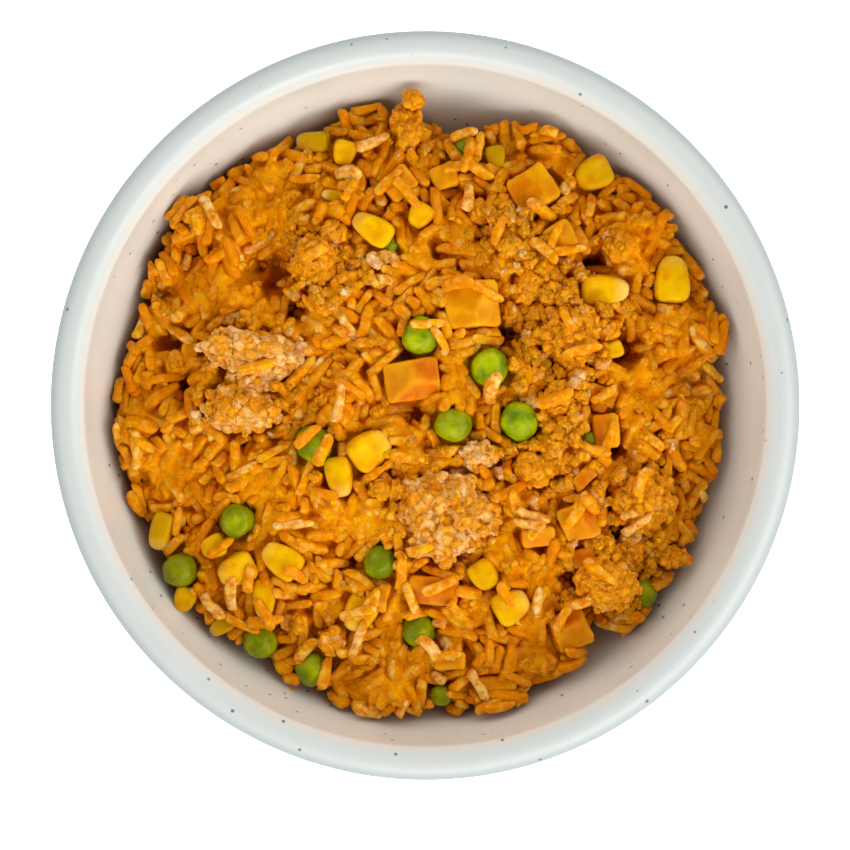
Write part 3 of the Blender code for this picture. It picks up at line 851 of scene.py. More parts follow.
def grainKind(name, bend, blunt, cut, flatSide, taper):
    # one grain of unit size along X, eight sides and few rings: a boxy soft rod with blunt, uneven ends
    sides, rings = 8, (-0.98, -0.82, -0.32, 0.22, 0.76, 0.97)
    points, ends, ridge = [(-0.5, 0.0, 0.0)], [1.0], [0.5]
    for t in rings:
        radius = 0.5 * max(1 - abs(t) ** blunt, 0.2) ** 0.5 * (1 - taper * (t + 1) / 2)
        slant = cut if t > 0.5 else -cut * 0.5 if t < -0.5 else 0
        for side in range(sides):
            # two corners close together at each edge of a squared rod
            angle = math.radians(45 + 90 * (side // 2) + (12 if side % 2 else -12))
            across, above = math.cos(angle), math.sin(angle)
            boxed = (abs(across) ** 4 + abs(above) ** 4) ** (-1 / 4)
            rough = boxed * (0.97 + 0.5 * bumps((t * 2.2 + bend * 9, across + blunt, above), 1.4))
            across, above = radius * rough * across, min(radius * rough * above, flatSide * radius)
            points.append((t / 2 + slant * across, across, above))
            # ends and upper edges get the paler colour: partly the grain's own pale cut ends, partly painted
            # highlight
            ends.append(abs(t) ** 3)
            ridge.append(1.0 if side < 3 else 0.0)
    points = np.array(points + [(0.5, 0.0, 0.0)])
    points[:, 1] += bend * (1 - 4 * points[:, 0] ** 2) - bend * 0.5
    mesh = meshFrom(name, points, podFaces(len(rings), sides), 1)
    setAttribute(mesh, "ends", ends + [1.0])
    setAttribute(mesh, "ridge", ridge + [0.5])
    return bpy.data.objects.new(name, mesh)


def endTree(tree, geometry, material):
    real = addNode(tree, "GeometryNodeRealizeInstances", {"Geometry": geometry}).outputs[0]
    done = addNode(tree, "GeometryNodeSetMaterial", {"Geometry": real, "Material": material}).outputs[0]
    addNode(tree, "NodeGroupOutput", {"Geometry": done})
    return tree


def layingTree():
    # instances a collection's shapes on points that know how they lie and how large they are
    tree, given = newTree("Geometry", "layOnHeap",
                          (("Geometry", "Geometry"), ("Kinds", "Collection"), ("Girth Factor", "Float", 1.0),
                           ("Last Kind", "Int", 4), ("Seed", "Int", 1), ("Material", "Material")),
                          (("Geometry", "Geometry"),))

    def named(label):
        return addNode(tree, "GeometryNodeInputNamedAttribute", {"Name": label},
                       data_type="FLOAT_VECTOR").outputs[0]

    lengthwise = addNode(tree, "FunctionNodeAlignRotationToVector", {"Vector": named("along")}, axis="X")
    turned = addNode(tree, "FunctionNodeAlignRotationToVector",
                     {"Rotation": lengthwise.outputs[0], "Vector": named("above")}, axis="Z", pivot_axis="X")
    factors = addNode(tree, "CombineXYZ", {0: 1.0, 1: given["Girth Factor"], 2: given["Girth Factor"]})
    size = addNode(tree, "VectorMath", {0: named("size"), 1: factors.outputs[0]}, operation="MULTIPLY")
    kinds = addNode(tree, "GeometryNodeCollectionInfo",
                    {"Collection": given["Kinds"], "Separate Children": True, "Reset Children": True})
    pick = addNode(tree, "FunctionNodeRandomValue", {4: 0, 5: given["Last Kind"], 8: given["Seed"]},
                   data_type="INT")
    laid = addNode(tree, "GeometryNodeInstanceOnPoints",
                   {"Points": given["Geometry"], "Instance": kinds.outputs[0],
                    "Pick Instance": True, "Instance Index": pick.outputs[2],
                    "Rotation": turned.outputs[0], "Scale": size.outputs[0]})
    return endTree(tree, laid.outputs[0], given["Material"])


def runTree(carrier, tree, values):
    # the inputs are set by identifier before the first evaluation
    modifier = carrier.modifiers.new(tree.name, "NODES")
    modifier.node_group = tree
    for item in tree.interface.items_tree:
        if item.in_out == "INPUT" and item.name in values:
            modifier[item.identifier] = values[item.name]
    return bakeModifiers(carrier)


def riceMaterial():
    material, tree = foodMaterial("sauceSoakedRice", 0.45, 1.5, (1.0, 0.5, 0.08), (1.0, 0.56, 0.06), 0.26)
    tint = attributeOf(tree, "tint")
    base = addRamp(tree, tint, (0.0, 222, 128, 0), (0.35, 236, 156, 0), (0.65, 244, 172, 0),
                   (0.85, 246, 184, 24), (1.0, 250, 204, 108))
    # pale at the ends and along the upper edges: partly pale cut ends, partly painted highlights and glints
    pale = addRamp(tree, tint, (0.0, 240, 158, 26), (0.5, 250, 190, 74), (1.0, 252, 220, 158))
    milky = spread(tree, noiseOf(tree, objectPlace(tree), 640.0), 0.42, 0.6)
    ridge = multiply(tree, attributeOf(tree, "ridge"), 0.75)
    edge = addMath(tree, "MAXIMUM", attributeOf(tree, "ends"), ridge)
    colour = mixColours(tree, multiply(tree, edge, milky), base, pale)
    finishFood(tree, colour, (560.0, 0.24, 0.5), (0.85, 0.6), sauce=((220, 124, 0), 0.42, 560.0))
    return material


def coreMaterial():
    material, tree = foodMaterial("packedRice", 0.3, 1.5, (1.0, 0.45, 0.05), (1.0, 0.52, 0.06))
    depth = attributeOf(tree, "depth")
    # painted shade: the deeper the core lies, the darker it is painted
    base = addRamp(tree, depth, (0.0, 240, 156, 0), (0.45, 226, 130, 0), (1.0, 176, 88, 0))
    lumps = noiseOf(tree, objectPlace(tree), 800.0)
    paler = multiply(tree, spread(tree, lumps, 0.5, 0.7), 0.5)
    finishFood(tree, mixColours(tree, paler, base, (246, 168, 30)), (420.0, 0.28, 0.55), (0.7, 0.5),
               sauce=((214, 114, 0), 0.36, 330.0), relief=lumps)
    return material


def mashSurface(rested, bed, wanted, covered):
    # sauce and mash stand high between the grains of some clumps and low in others, in small lumps
    low, high = rice["fillBelow"]
    step = 2
    near = outlineShare[::step, ::step] < 1.08
    share, lumps = np.zeros(near.shape), np.zeros(near.shape)
    for row, column in zip(*np.nonzero(near)):
        spot = (gridLine[column * step], gridLine[row * step], 0)
        share[row, column] = min(max(0.56 + 1.2 * bumps(spot, 10.0, 2.0), 0), 1)
        lumps[row, column] = abs(bumps(spot, 2.0, 5.0)) * 1.5 - 0.35
    share, lumps = (np.kron(coarse, np.ones((step, step)))[:gridSide, :gridSide] for coarse in (share, lumps))
    loose = np.where(covered, np.maximum(bed, wanted - 0.8), rested)
    level = share * closed(loose, 5) + (1 - share) * loose
    level += lumps * (0.3 + 0.5 * share) - (high - (high - low) * share)
    level = np.maximum(softened(level, 2), bed - 1.0)
    for x, y, radius, depth in heap["gaps"]:
        level -= 0.8 * depth * mound(x, y, radius)
    return level


def makeCore(surface, wanted, foot, material):
    # the heap's own body: a disc of small squares on the buried grains, its side and its underneath
    side, clear = rice["coreSide"], rice["coreClear"]
    line = np.linspace(-1, 1, side)
    u, v = np.meshgrid(line, line)
    discX, discY = u * np.sqrt(1 - v * v / 2), v * np.sqrt(1 - u * u / 2)
    edge = bodyRadius(np.arctan2(discY, discX)) - 0.6
    x, y = discX * edge, discY * edge
    z = np.minimum(surface, foot - 0.4)[cellsOf(x, y)]  # a seat under each topping
    # how far under the wanted surface: the material paints deeper places darker, as painted shade
    depth = np.clip((wanted[cellsOf(x, y)] - rice["buriedBelow"] - z) / 4 + 0.2, 0, 1)
    points = [np.column_stack((x.ravel(), y.ravel(), z.ravel()))]
    places = np.arange(side * side).reshape(side, side)
    faces = [(corner, corner + 1, corner + side + 1, corner + side)
             for corner in places[:-1, :-1].ravel().tolist()]
    ring = np.concatenate((places[0], places[1:, -1], places[-1, -2::-1], places[-2:0:-1, 0])).tolist()
    border, around = points[0][ring], len(ring)
    for step, size in enumerate(rice["coreRings"]):
        level = border.copy()
        level[:, :2] *= size
        radii = np.hypot(level[:, 0], level[:, 1])
        floor = np.array([wallHeight(radius + clear) + clear for radius in radii])
        fall = min((step + 1) / 5, 1)
        level[:, 2] = border[:, 2] * (1 - fall) + floor * fall
        points.append(level)
        first = side * side + step * around
        lower = list(range(first, first + around))
        faces += zip(ring, lower, lower[1:] + lower[:1], ring[1:] + ring[:1])
        ring = lower
    points.append([(0.0, 0.0, bowl["insideFloor"] + clear)])
    faces += zip(ring, [ring[-1] + 1] * around, ring[1:] + ring[:1])
    points = np.vstack(points)
    mesh = meshFrom("riceCore", points, faces)
    setAttribute(mesh, "depth", np.append(depth, np.full(len(points) - depth.size, 0.7)))
    addPiece("riceCore", mesh, material, ["rice"])
    return len(faces)


def scatter(name, tree, shapes, material, seed, pieces):
    # pieces: middle, way along, way above, size and tint of each
    middles, alongs, aboves, sizes, tints = zip(*pieces)
    kinds = bpy.data.collections.new(name + "Kinds")
    bpy.context.scene.collection.children.link(kinds)
    for shape in shapes:
        kinds.objects.link(shape)
    cloud = meshFrom(name + "Points", middles, [])
    for label, values in (("along", alongs), ("above", aboves), ("size", np.asarray(sizes, float) * mm),
                          ("tint", tints), ("sort", np.asarray(tints) * 37 % 1)):
        setAttribute(cloud, label, values)
    carrier = placeObject(name + "Points", cloud)
    mesh = runTree(carrier, tree, {"Kinds": kinds, "Girth Factor": rice["plump"], "Seed": seed,
                                   "Last Kind": len(shapes) - 1, "Material": material})
    bpy.data.objects.remove(carrier)
    for shape in shapes:
        kinds.objects.unlink(shape)
    bpy.data.collections.remove(kinds)
    addPiece(name, mesh, material)
    print("laid:", name, len(pieces), "pieces,", len(mesh.polygons), "faces")


# Crumbs of mince that have come off the lumps

crumbs = {
    "count": 760,
    "size": (1.6, 3.6),
    "kinds": (("crumbA", 1.0), ("crumbB", 5.0), ("crumbC", 9.0)),
    "sauced": (0.42, 0.8),
    "elsewhere": 0.1,  # share of them that lie elsewhere, out to the reach
    "reach": 62,
    "saucedElsewhere": (0.65, 0.9),
    "seed": 6,
    # x, y, radius and share of the places where they lie close together
    "zones": ((-38, 6, 12, 3), (4, -24, 12, 2), (30, 18, 13, 6), (18, 38, 7, 2), (47, -20, 10, 3),
              (42, -38, 11, 4), (27, -12, 8, 1), (29, 0, 7, 2), (-24, 32, 10, 3), (-3, 61, 6, 1),
              (24, 26, 6, 1), (52, -32, 6, 1)),
}


def crumbKind(name, shift):
    # a knobbly crumb of unit size with few faces
    sides, rings = 8, 5
    points = [(-0.5, 0.0, 0.0)]
    for ring in range(1, rings):
        turn = math.pi * ring / rings
        for side in range(sides):
            angle = math.tau * (side + 0.5 * (ring % 2)) / sides
            points.append((-0.5 * math.cos(turn), 0.5 * math.sin(turn) * math.cos(angle),
                           0.5 * math.sin(turn) * math.sin(angle)))
    points.append((0.5, 0.0, 0.0))
    points = np.array([Vector(point) * (1 + 0.9 * bumps(point, 0.38, shift)) for point in points])
    mesh = meshFrom(name, points, podFaces(rings - 1, sides), 1)
    setAttribute(mesh, "crease", (0.5 - np.linalg.norm(points, axis=1)) * 0.8)
    return bpy.data.objects.new(name, mesh)


def dropCrumbs(ground, top, rng):
    zones = np.array(crumbs["zones"], float)
    share = zones[:, 3] / zones[:, 3].sum()
    laid = []
    while len(laid) < crumbs["count"]:
        if rng.random() < crumbs["elsewhere"]:
            radius, angle = crumbs["reach"] * math.sqrt(rng.random()), rng.uniform(0, math.tau)
            x, y = radius * math.cos(angle), radius * math.sin(angle)
            tint = rng.uniform(*crumbs["saucedElsewhere"])
        else:
            zone = zones[rng.choice(len(zones), p=share)]
            x, y = zone[0] + rng.normal(0, zone[2] * 0.5), zone[1] + rng.normal(0, zone[2] * 0.5)
            tint = rng.uniform(*crumbs["sauced"])
        cell = cellsOf(x, y)
        if outlineShare[cell] > 0.97 or top[cell] > ground[cell] - 0.3:
            continue
        size = rng.uniform(*crumbs["size"]) * rng.uniform(0.7, 1)
        beside = x + np.array((-1, 0, 1, 0)) * size / 2, y + np.array((0, 1, 0, -1)) * size / 2
        around = ground[cellsOf(*beside)]
        z = 0.5 * around.mean() + 0.5 * ground[cell] + size * 0.1
        stampGrain(ground, x, y, z - size * 0.12, 0.0, 0.0, size, size, size * 0.8)
        laid.append(((x, y, z), (size * rng.uniform(0.9, 1.3), size, size * 0.85), tint))
    return laid


def randomWays(rng, count):
    ways = rng.normal(0, 1, (count, 3))
    return ways / np.linalg.norm(ways, axis=1)[:, None]


def makeCrumbs(laid, tree, material):
    rng = np.random.default_rng(crumbs["seed"] + 1)
    alongs, aboves = randomWays(rng, len(laid)), randomWays(rng, len(laid))
    scatter("minceCrumbs", tree, [crumbKind(*kind) for kind in crumbs["kinds"]], material, 5,
            [(middle, along, above, size, tint)
             for (middle, size, tint), along, above in zip(laid, alongs, aboves)])


def makeSmears(tree, material):
    pieces = []
    for angle, out, length, width, turn in rice["smears"]:
        angle, turn, z = math.radians(angle), math.radians(turn), wallHeight(out)
        rise = 0.5 / (wallRadius(z + 0.25) - wallRadius(z - 0.25) + 1e-6)
        inward = Vector((-math.cos(angle) * rise, -math.sin(angle) * rise, 1)).normalized()
        across = Vector((-math.sin(angle), math.cos(angle), 0))
        along = across * math.cos(turn) + across.cross(inward) * math.sin(turn)
        pieces.append(((out * math.cos(angle), out * math.sin(angle), z), along, inward,
                       (length, width, 1.0), 0.5))
    kinds = [crumbKind(*kind) for kind in rice["smearKinds"]]
    scatter("sauceSmears", tree, kinds, material, 2, pieces)


def makeRice(toppings, meat):
    rng = np.random.default_rng(rice["seed"])
    top, foot = toppingHeights(toppings)
    wanted = wantedSurface(top > 0)
    covered = top > wanted - 1.0
    kept = covered.copy()
    for x, y, radius, _ in heap["gaps"]:
        kept |= np.hypot(gridX - x, gridY - y) < radius * 0.75
    ground = wanted - rice["bedBelow"]
    layGrains(ground, wanted - rice["buriedBelow"], covered, rice["buried"], rng, 0.0, share=1.1)
    bed = softened(ground, 2)
    ground = np.maximum(bed, top)
    print("heap: buried layer laid")
    laid = layGrains(ground, wanted, kept, rice["loose"], rng, 0.2, share=0.3)
    crumbsLaid = dropCrumbs(ground, top, np.random.default_rng(crumbs["seed"]))
    rested = ground.copy()
    tints = [paleness(rng, x, y) for x, y, *_ in laid]
    for x, y, degrees in overGrains + paleGrains:
        length, width, thick = grainSize(rng)
        length, heading = max(length, rice["shortestPlaced"]), math.radians(degrees)
        z, slope = restGrain(ground, x, y, heading, length, thick, 0.25)
        stampGrain(ground, x, y, z, heading, slope, length, width, thick)
        laid.append((x, y, z, heading, slope, length, width, thick))
        tints.append(0.94 if (x, y, degrees) in paleGrains else rng.uniform(0.3, 0.75))
    pieces = []
    for (x, y, z, heading, slope, *size), tint in zip(laid, tints):
        along = Vector((math.cos(heading), math.sin(heading), slope)).normalized()
        roll = rng.normal(0, rice["roll"])
        above = (-math.sin(heading) * math.sin(roll), math.cos(heading) * math.sin(roll), math.cos(roll))
        pieces.append(((x, y, z), along, above, size, tint))
    pieces += [(*placed, rng.uniform(0.1, 0.5)) for placed in sideGrains(rng)]
    tree, look = layingTree(), riceMaterial()
    kinds = [grainKind(*kind) for kind in rice["kinds"]]
    whole = [size[0] >= rice["broken"][1] + 0.3 for _, _, _, size, _ in pieces]
    for name, seed, wholeOnes in (("riceWhole", 3, True), ("riceBroken", 8, False)):
        chosen = [piece for piece, isWhole in zip(pieces, whole) if isWhole == wholeOnes]
        scatter(name, tree, kinds, look, seed, chosen)
    makeCrumbs(crumbsLaid, tree, meat)
    packed = coreMaterial()
    makeSmears(tree, packed)
    print("rice core:", makeCore(mashSurface(rested, bed, wanted, covered), wanted, foot, packed), "faces")


def paleness(rng, x, y):
    if rng.random() < rice["paleOnes"]:
        return rng.uniform(0.8, 0.95)
    drift = 0.3 * bumps((x, y, 0), 22.0, 7.0)
    return float(np.clip(0.36 + drift + rng.normal(0, 0.17), 0, 0.82))


# Toppings: each takes the place, turn and size of its node

def nodeFrame(name):
    # the middle of a node, its axes from the longest to the shortest and its size along each
    points = nodePoints(name)
    mean = points.mean(0)
    axes = np.linalg.eigh((points - mean).T @ (points - mean))[1][:, ::-1].copy()
    if axes[2, 2] < 0:
        axes[:, 2] *= -1
    along = (points - mean) @ axes
    length = np.ptp(along[:, 0])
    low = np.abs(along[along[:, 0] < along[:, 0].min() + 0.3 * length, 1]).mean()
    high = np.abs(along[along[:, 0] > along[:, 0].max() - 0.3 * length, 1]).mean()
    if low > high:
        axes[:, 0] *= -1
    axes[:, 1] = np.cross(axes[:, 2], axes[:, 0])
    along = (points - mean) @ axes
    middle = mean + axes @ ((along.min(0) + along.max(0)) / 2)
    return middle, axes, np.ptp(along, 0)


def seedOf(name):
    return sum(ord(letter) * (place + 1) for place, letter in enumerate(name)) % 997


def neighbourMean(mesh, values, times):
    edges = np.empty(len(mesh.edges) * 2, np.int32)
    mesh.edges.foreach_get("vertices", edges)
    first, second = edges.reshape(-1, 2).T
    counts = np.bincount(edges, minlength=len(values))[:, None]
    for _ in range(times):
        total = np.zeros_like(values)
        np.add.at(total, first, values[second])
        np.add.at(total, second, values[first])
        values = total / np.maximum(counts, 1)
    return values


def hollowness(mesh, times):
    # positive in creases and negative on knobs, in millimetres
    points = meshPoints(mesh)
    return ((neighbourMean(mesh, points, times) - points) * meshNormals(mesh)).sum(1) / mm


def swell(mesh, heights):
    # each vertex moves along its normal, by millimetres
    movePoints(mesh, meshPoints(mesh) / mm + meshNormals(mesh) * np.asarray(heights)[:, None])


def copyOfNode(name, shrink=1.0, cuts=()):
    # the node's own solid with its doubles merged, as a fresh object
    bm = bmesh.new()
    bm.from_mesh(frame["nodes"][name].data)
    bmesh.ops.remove_doubles(bm, verts=bm.verts, dist=0.01 * mm)
    middle = sum((vert.co for vert in bm.verts), Vector()) / len(bm.verts)
    for vert in bm.verts:
        vert.co = middle + (vert.co - middle) * shrink
    surface = BVHTree.FromBMesh(bm)
    for x, y, way, slope in cuts:
        # a slanted face that passes through a place on the top, falling towards one side
        way = math.radians(way)
        normal = Vector((math.cos(way) * slope, math.sin(way) * slope, 1)).normalized()
        above = Vector((middle.x + x * mm, middle.y + y * mm, 0.1))
        crest = surface.ray_cast(above, Vector((0, 0, -1)))[0]
        bmesh.ops.bisect_plane(bm, geom=bm.verts[:] + bm.edges[:] + bm.faces[:],
                               plane_co=crest, plane_no=normal, clear_outer=True)
        bmesh.ops.holes_fill(bm, edges=bm.edges)
    bmesh.ops.recalc_face_normals(bm, faces=bm.faces)
    return placeObject("copied", meshOf("copied", bm))


def remeshed(carrier, voxel, smoothing):
    remesh = carrier.modifiers.new("even", "REMESH")
    remesh.mode = "VOXEL"
    remesh.voxel_size = voxel * mm
    smooth = carrier.modifiers.new("eased", "SMOOTH")
    smooth.factor = 0.5
    smooth.iterations = smoothing
    mesh = bakeModifiers(carrier)
    bpy.data.objects.remove(carrier)
    mesh.shade_smooth()
    return mesh


# Peas

peas = {
    "lump": 0.06,
    "wrinkle": 0.04,
    "facets": 4,
    "facet": 0.28,
    "facetFrom": 0.72,
    "eye": (0.05, 0.2),  # depth and width of the small dimple beside the hollow
    "hollowWidth": 0.42,
    "rimmedFrom": 0.12,  # deeper hollows have a raised rim
    "pores": (0.012, 0.12),  # depth and width
    "shadeLine": 0.62,  # how high up a pea's side the painted shade reaches
    "seed": 4,
    # wrinkles, olive tint, worn patches, and a hollow: its direction and depth
    "own": {
        "pea_middle_left": (0.01, 0.1, 0.2, (0.2, -0.3, 0.9), 0.02),
        "pea_middle_right": (0.01, 0.0, 0.1, (-0.8, 0.2, 0.5), 0.04),
        "pea_carrot": (0.03, 0.3, 0.35, (0.3, 0.5, 0.8), 0.08),
        "pea_centre": (0.01, 0.0, 0.15, (-0.5, -0.6, 0.6), 0.04),
        "pea_left": (0.02, 0.35, 0.5, (-0.4, 0.6, 0.7), 0.06),
        "pea_lower_left": (0.03, 0.4, 0.6, (0.1, -0.15, 1.0), 0.16),
        "pea_rim_left": (0.05, 0.55, 0.5, (-0.3, 0.3, 0.9), 0.10),
        "pea_foot_left": (0.02, 0.35, 0.4, (0.4, 0.4, 0.8), 0.05),
        "pea_foot_right": (0.02, 0.35, 0.4, (-0.4, 0.5, 0.7), 0.05),
        "pea_wrinkled": (0.07, 0.3, 0.6, (0.0, 0.3, 0.9), 0.08),
        "pea_sunk": (0.04, 0.4, 0.5, (0.3, 0.3, 0.9), 0.05),
        "pea_rim_right": (0.03, 0.4, 0.5, (-0.6, 0.4, 0.7), 0.06),
        "pea_top": (0.03, 0.3, 0.6, (0.2, -0.5, 0.8), 0.05),
    },
}


def makePea(name, low, high, own, material, nodes):
    wrinkle, olive, worn, hollow, depth = own
    low, high = Vector(low), Vector(high)
    middle, half = (low + high) / 2, (high - low) / 2
    shift = seedOf(name)
    hollow = Vector(hollow).normalized()
    eye = hollow.cross(Vector((0.3, 0.8, 0.4))).normalized()
    rng = np.random.default_rng(shift + peas["seed"])
    facets = [Vector(rng.normal(0, 1, 3)).normalized() for _ in range(peas["facets"])]
    bm = bmesh.new()
    bmesh.ops.create_icosphere(bm, subdivisions=4, radius=1.0)
    # painted shade on the lower sides
    flankShades = [min(max(peas["shadeLine"] - vert.co.z, 0), 1) ** 1.3 for vert in bm.verts]
    for vert in bm.verts:
        way = vert.co.normalized()
        reach = 1 + peas["lump"] * bumps(way, 0.9, shift)
        for facet in facets:
            reach -= peas["facet"] * max(way.dot(facet) - peas["facetFrom"], 0)
        ridge = 1 - abs(bumps(way, 0.34, shift + 3)) * 3.2
        reach -= peas["eye"][0] * math.exp(-((way - eye).length / peas["eye"][1]) ** 2)
        reach -= (peas["wrinkle"] + wrinkle) * max(ridge, 0) * (0.5 + 0.5 * bumps(way, 0.7, shift + 8))
        away = (way - hollow).length
        reach -= depth * math.exp(-(away / peas["hollowWidth"]) ** 2)
        if depth > peas["rimmedFrom"]:
            reach += 0.05 * math.exp(-((away - 0.62) / 0.10) ** 2) * (1 + bumps(way, 0.3, shift))
        reach -= peas["pores"][0] * (1 + bumps(way, peas["pores"][1], shift + 5))
        vert.co = Vector((way.x * half.x, way.y * half.y, way.z * half.z)) * reach
    mesh = meshOf("pea", bm)
    movePoints(mesh, meshPoints(mesh) + np.array(middle))
    mesh.shade_smooth()
    setAttribute(mesh, "crease", hollowness(mesh, 6))
    setAttribute(mesh, "olive", olive)
    setAttribute(mesh, "worn", worn)
    setAttribute(mesh, "flank", flankShades)
    addPiece(pieceName(name), mesh, material, nodes)


def peaMaterial():
    material, tree = foodMaterial("peaSkin", 0.2, 1.5, (0.8, 1.0, 0.03), (0.95, 1.0, 0.05),
                                  Coat_Weight=0.14, Coat_Roughness=0.1)
    clouds = noiseOf(tree, objectPlace(tree), 260.0)
    patch = addMath(tree, "MULTIPLY_ADD", attributeOf(tree, "worn"), 0.22, clouds)
    base = addRamp(tree, patch, (0.4, 176, 186, 0), (0.54, 138, 154, 0), (0.7, 90, 116, 0))
    dull = mixColours(tree, attributeOf(tree, "olive"), base, (134, 122, 0))
    creaseShade = multiply(tree, spread(tree, attributeOf(tree, "crease"), 0.0, 0.16), 0.45)
    # painted shade: the lower sides and the creases are darker
    flank = multiply(tree, attributeOf(tree, "flank"), 0.75)
    colour = mixColours(tree, addMath(tree, "MAXIMUM", creaseShade, flank), dull, (64, 88, 0))
    finishFood(tree, colour, (500.0, 0.16, 0.42), (0.5, 0.3))
    return material


# Sweetcorn

corn = {
    "rings": 26,
    "sides": 36,
    "tipWidth": 0.74,
    "blockiness": 4.2,
    "taperLength": 1.35,
    "dentPlace": (0.35, 0.45),  # place along the kernel, and width
    "wander": 0.03,
    "fine": 0.012,
    # dent depth, olive tint, how pale the tip is
    "own": {
        "corn_upper_left": (0.10, 0.0, 0.15), "corn_upper_middle": (0.04, 0.0, 0.0),
        "corn_top_left": (0.04, 0.0, 0.0), "corn_top_edge": (0.05, 0.7, 0.1),
        "corn_top_right": (0.16, 0.3, 0.0), "corn_right": (0.16, 0.0, 0.45),
        "corn_rim_right": (0.06, 0.05, 0.1), "corn_blocky": (0.10, 0.0, 0.2),
        "corn_beside_blocky": (0.06, 0.0, 0.2), "corn_left_small": (0.14, 0.1, 0.0),
        "corn_left": (0.08, 0.0, 0.1), "corn_lower_left": (0.07, 0.0, 0.12),
        "corn_upright": (0.05, 0.0, 0.1), "corn_rim_left": (0.06, 0.5, 0.2),
        "corn_foot": (0.08, 0.0, 0.2), "corn_under_chicken": (0.05, 0.0, 0.0),
        "corn_lower_right": (0.08, 0.0, 0.2),
    },
}


def makeKernel(name, middle, axes, size, own, material, nodes):
    dent, olive, pale = own
    rings, sides, shift = corn["rings"], corn["sides"], seedOf(name)
    power = 2 / corn["blockiness"]
    dentAt, dentWidth = corn["dentPlace"]
    points, tip = [(-1.0, 0.0, 0.0)], [1.0]
    for ring in range(1, rings):
        u = -math.cos(math.pi * ring / rings)
        cap = (1 - abs(u) ** (5.0 if u > 0 else 3.6)) ** (1 / (3.4 if u > 0 else 2.8))
        rise = min(max((u + 1) / corn["taperLength"], 0), 1)
        taper = corn["tipWidth"] + (1 - corn["tipWidth"]) * rise * rise * (3 - 2 * rise)
        for side in range(sides):
            angle = math.tau * side / sides
            across, above = math.cos(angle), math.sin(angle)
            y = math.copysign(abs(across) ** power, across) * cap * taper
            z = math.copysign(abs(above) ** power, above) * cap * (0.5 + 0.5 * taper)
            if z > 0:
                z -= dent * 2.2 * math.exp(-((u - dentAt) / dentWidth) ** 2 - (y / dentWidth) ** 2)
            swollen = (1 + corn["wander"] * bumps((u, y, z), 0.8, shift)
                       + corn["fine"] * bumps((u, y, z), 0.25, shift))
            points.append((u * swollen, y * swollen, z * swollen))
            tip.append(max(-0.35 - u, 0) / 0.65)
    points.append((1.0, 0.0, 0.0))
    tip.append(0.0)
    placed = (np.array(points) * np.array(size) / 2) @ np.array(axes).T + np.array(middle)
    mesh = meshFrom("kernel", placed, podFaces(rings - 1, sides))
    setAttribute(mesh, "tip", np.array(tip) * pale)
    setAttribute(mesh, "olive", olive)
    setAttribute(mesh, "crease", hollowness(mesh, 5))
    addPiece(pieceName(name), mesh, material, nodes)


def cornMaterial():
    material, tree = foodMaterial("cornSkin", 0.25, 1.8, (1.0, 0.6, 0.04), (1.0, 0.8, 0.06),
                                  Coat_Weight=0.06, Coat_Roughness=0.14)
    clouds = noiseOf(tree, objectPlace(tree), 260.0, 2.0)
    base = addRamp(tree, clouds, (0.34, 222, 150, 0), (0.5, 234, 172, 0), (0.68, 242, 188, 0))
    dull = mixColours(tree, attributeOf(tree, "olive"), base, (168, 128, 4))
    tipped = mixColours(tree, attributeOf(tree, "tip"), dull, (248, 226, 150))
    finishFood(tree, tipped, (420.0, 0.14, 0.34), (0.2, 0.2), sauce=((222, 134, 0), 0.24, 300.0))
    return material


# Carrot dice

carrots = {
    "voxel": 0.5,
    "easing": 2,
    # wavelength and height of what bends the faces, from coarse to fine
    "warp": (7.0, 0.45),
    "wander": (2.8, 0.16),
    "cut": (0.9, 0.05),
    # how yellow, from 0 reddish to 1 yellowish
    "tone": {"carrot_upper_right": 0.75, "carrot_top": 0.55, "carrot_middle": 0.9, "carrot_centre": 0.35,
             "carrot_lower": 0.1, "carrot_foot_right": 0.3, "carrot_right": 0.5, "carrot_upper_small": 0.7,
             "carrot_right_small": 0.45, "carrot_slab": 0.5, "carrot_top_small": 0.6, "carrot_flat": 0.6,
             "carrot_foot_slab": 0.65},
    "litContrast": 0.9,  # how far the tone changes with a face's turn towards the lit side: painted light and shade
    # the side each die's faces are painted lighter towards: painted light
    "brightSide": {"carrot_centre": 165, "carrot_middle": 330, "carrot_upper_right": 20, "carrot_right": 160},
    # slanted faces: x and y from the middle, the way each falls, and its slope
    "cuts": {
        "carrot_centre": ((0.3, -0.2, 45, 0.5), (0.3, -0.2, 165, 0.55), (0.3, -0.2, 295, 0.75)),
        "carrot_middle": ((1.6, 0.5, 120, 0.25), (1.6, 0.5, -10, 0.7), (1.0, -2.0, 240, 0.4)),
        "carrot_upper_right": ((1.6, 0.5, 15, 0.5), (1.6, 0.5, 205, 0.25), (0.0, -1.5, 280, 0.4)),
        "carrot_right": ((0.5, 0.0, 15, 0.6), (0.5, 0.0, 170, 0.3), (0.5, 0.0, 270, 0.35)),
        "carrot_lower": ((0.0, 0.5, 80, 0.3), (0.0, 0.5, 250, 0.4)),
        "carrot_foot_right": ((0.0, 1.0, 115, 0.5), (0.0, 1.0, 290, 0.6)),
        "carrot_upper_small": ((0.0, 0.0, 60, 0.4), (0.0, 0.0, 210, 0.3)),
        "carrot_right_small": ((0.0, 0.0, 180, 0.45), (0.0, 0.0, 60, 0.3)),
        "carrot_top": ((0.0, 0.0, 150, 0.35), (0.0, 0.0, 330, 0.3)),
        "carrot_slab": ((0.0, 0.0, 300, 0.4),),
        "carrot_top_small": ((0.0, 0.0, 200, 0.35),),
    },
}


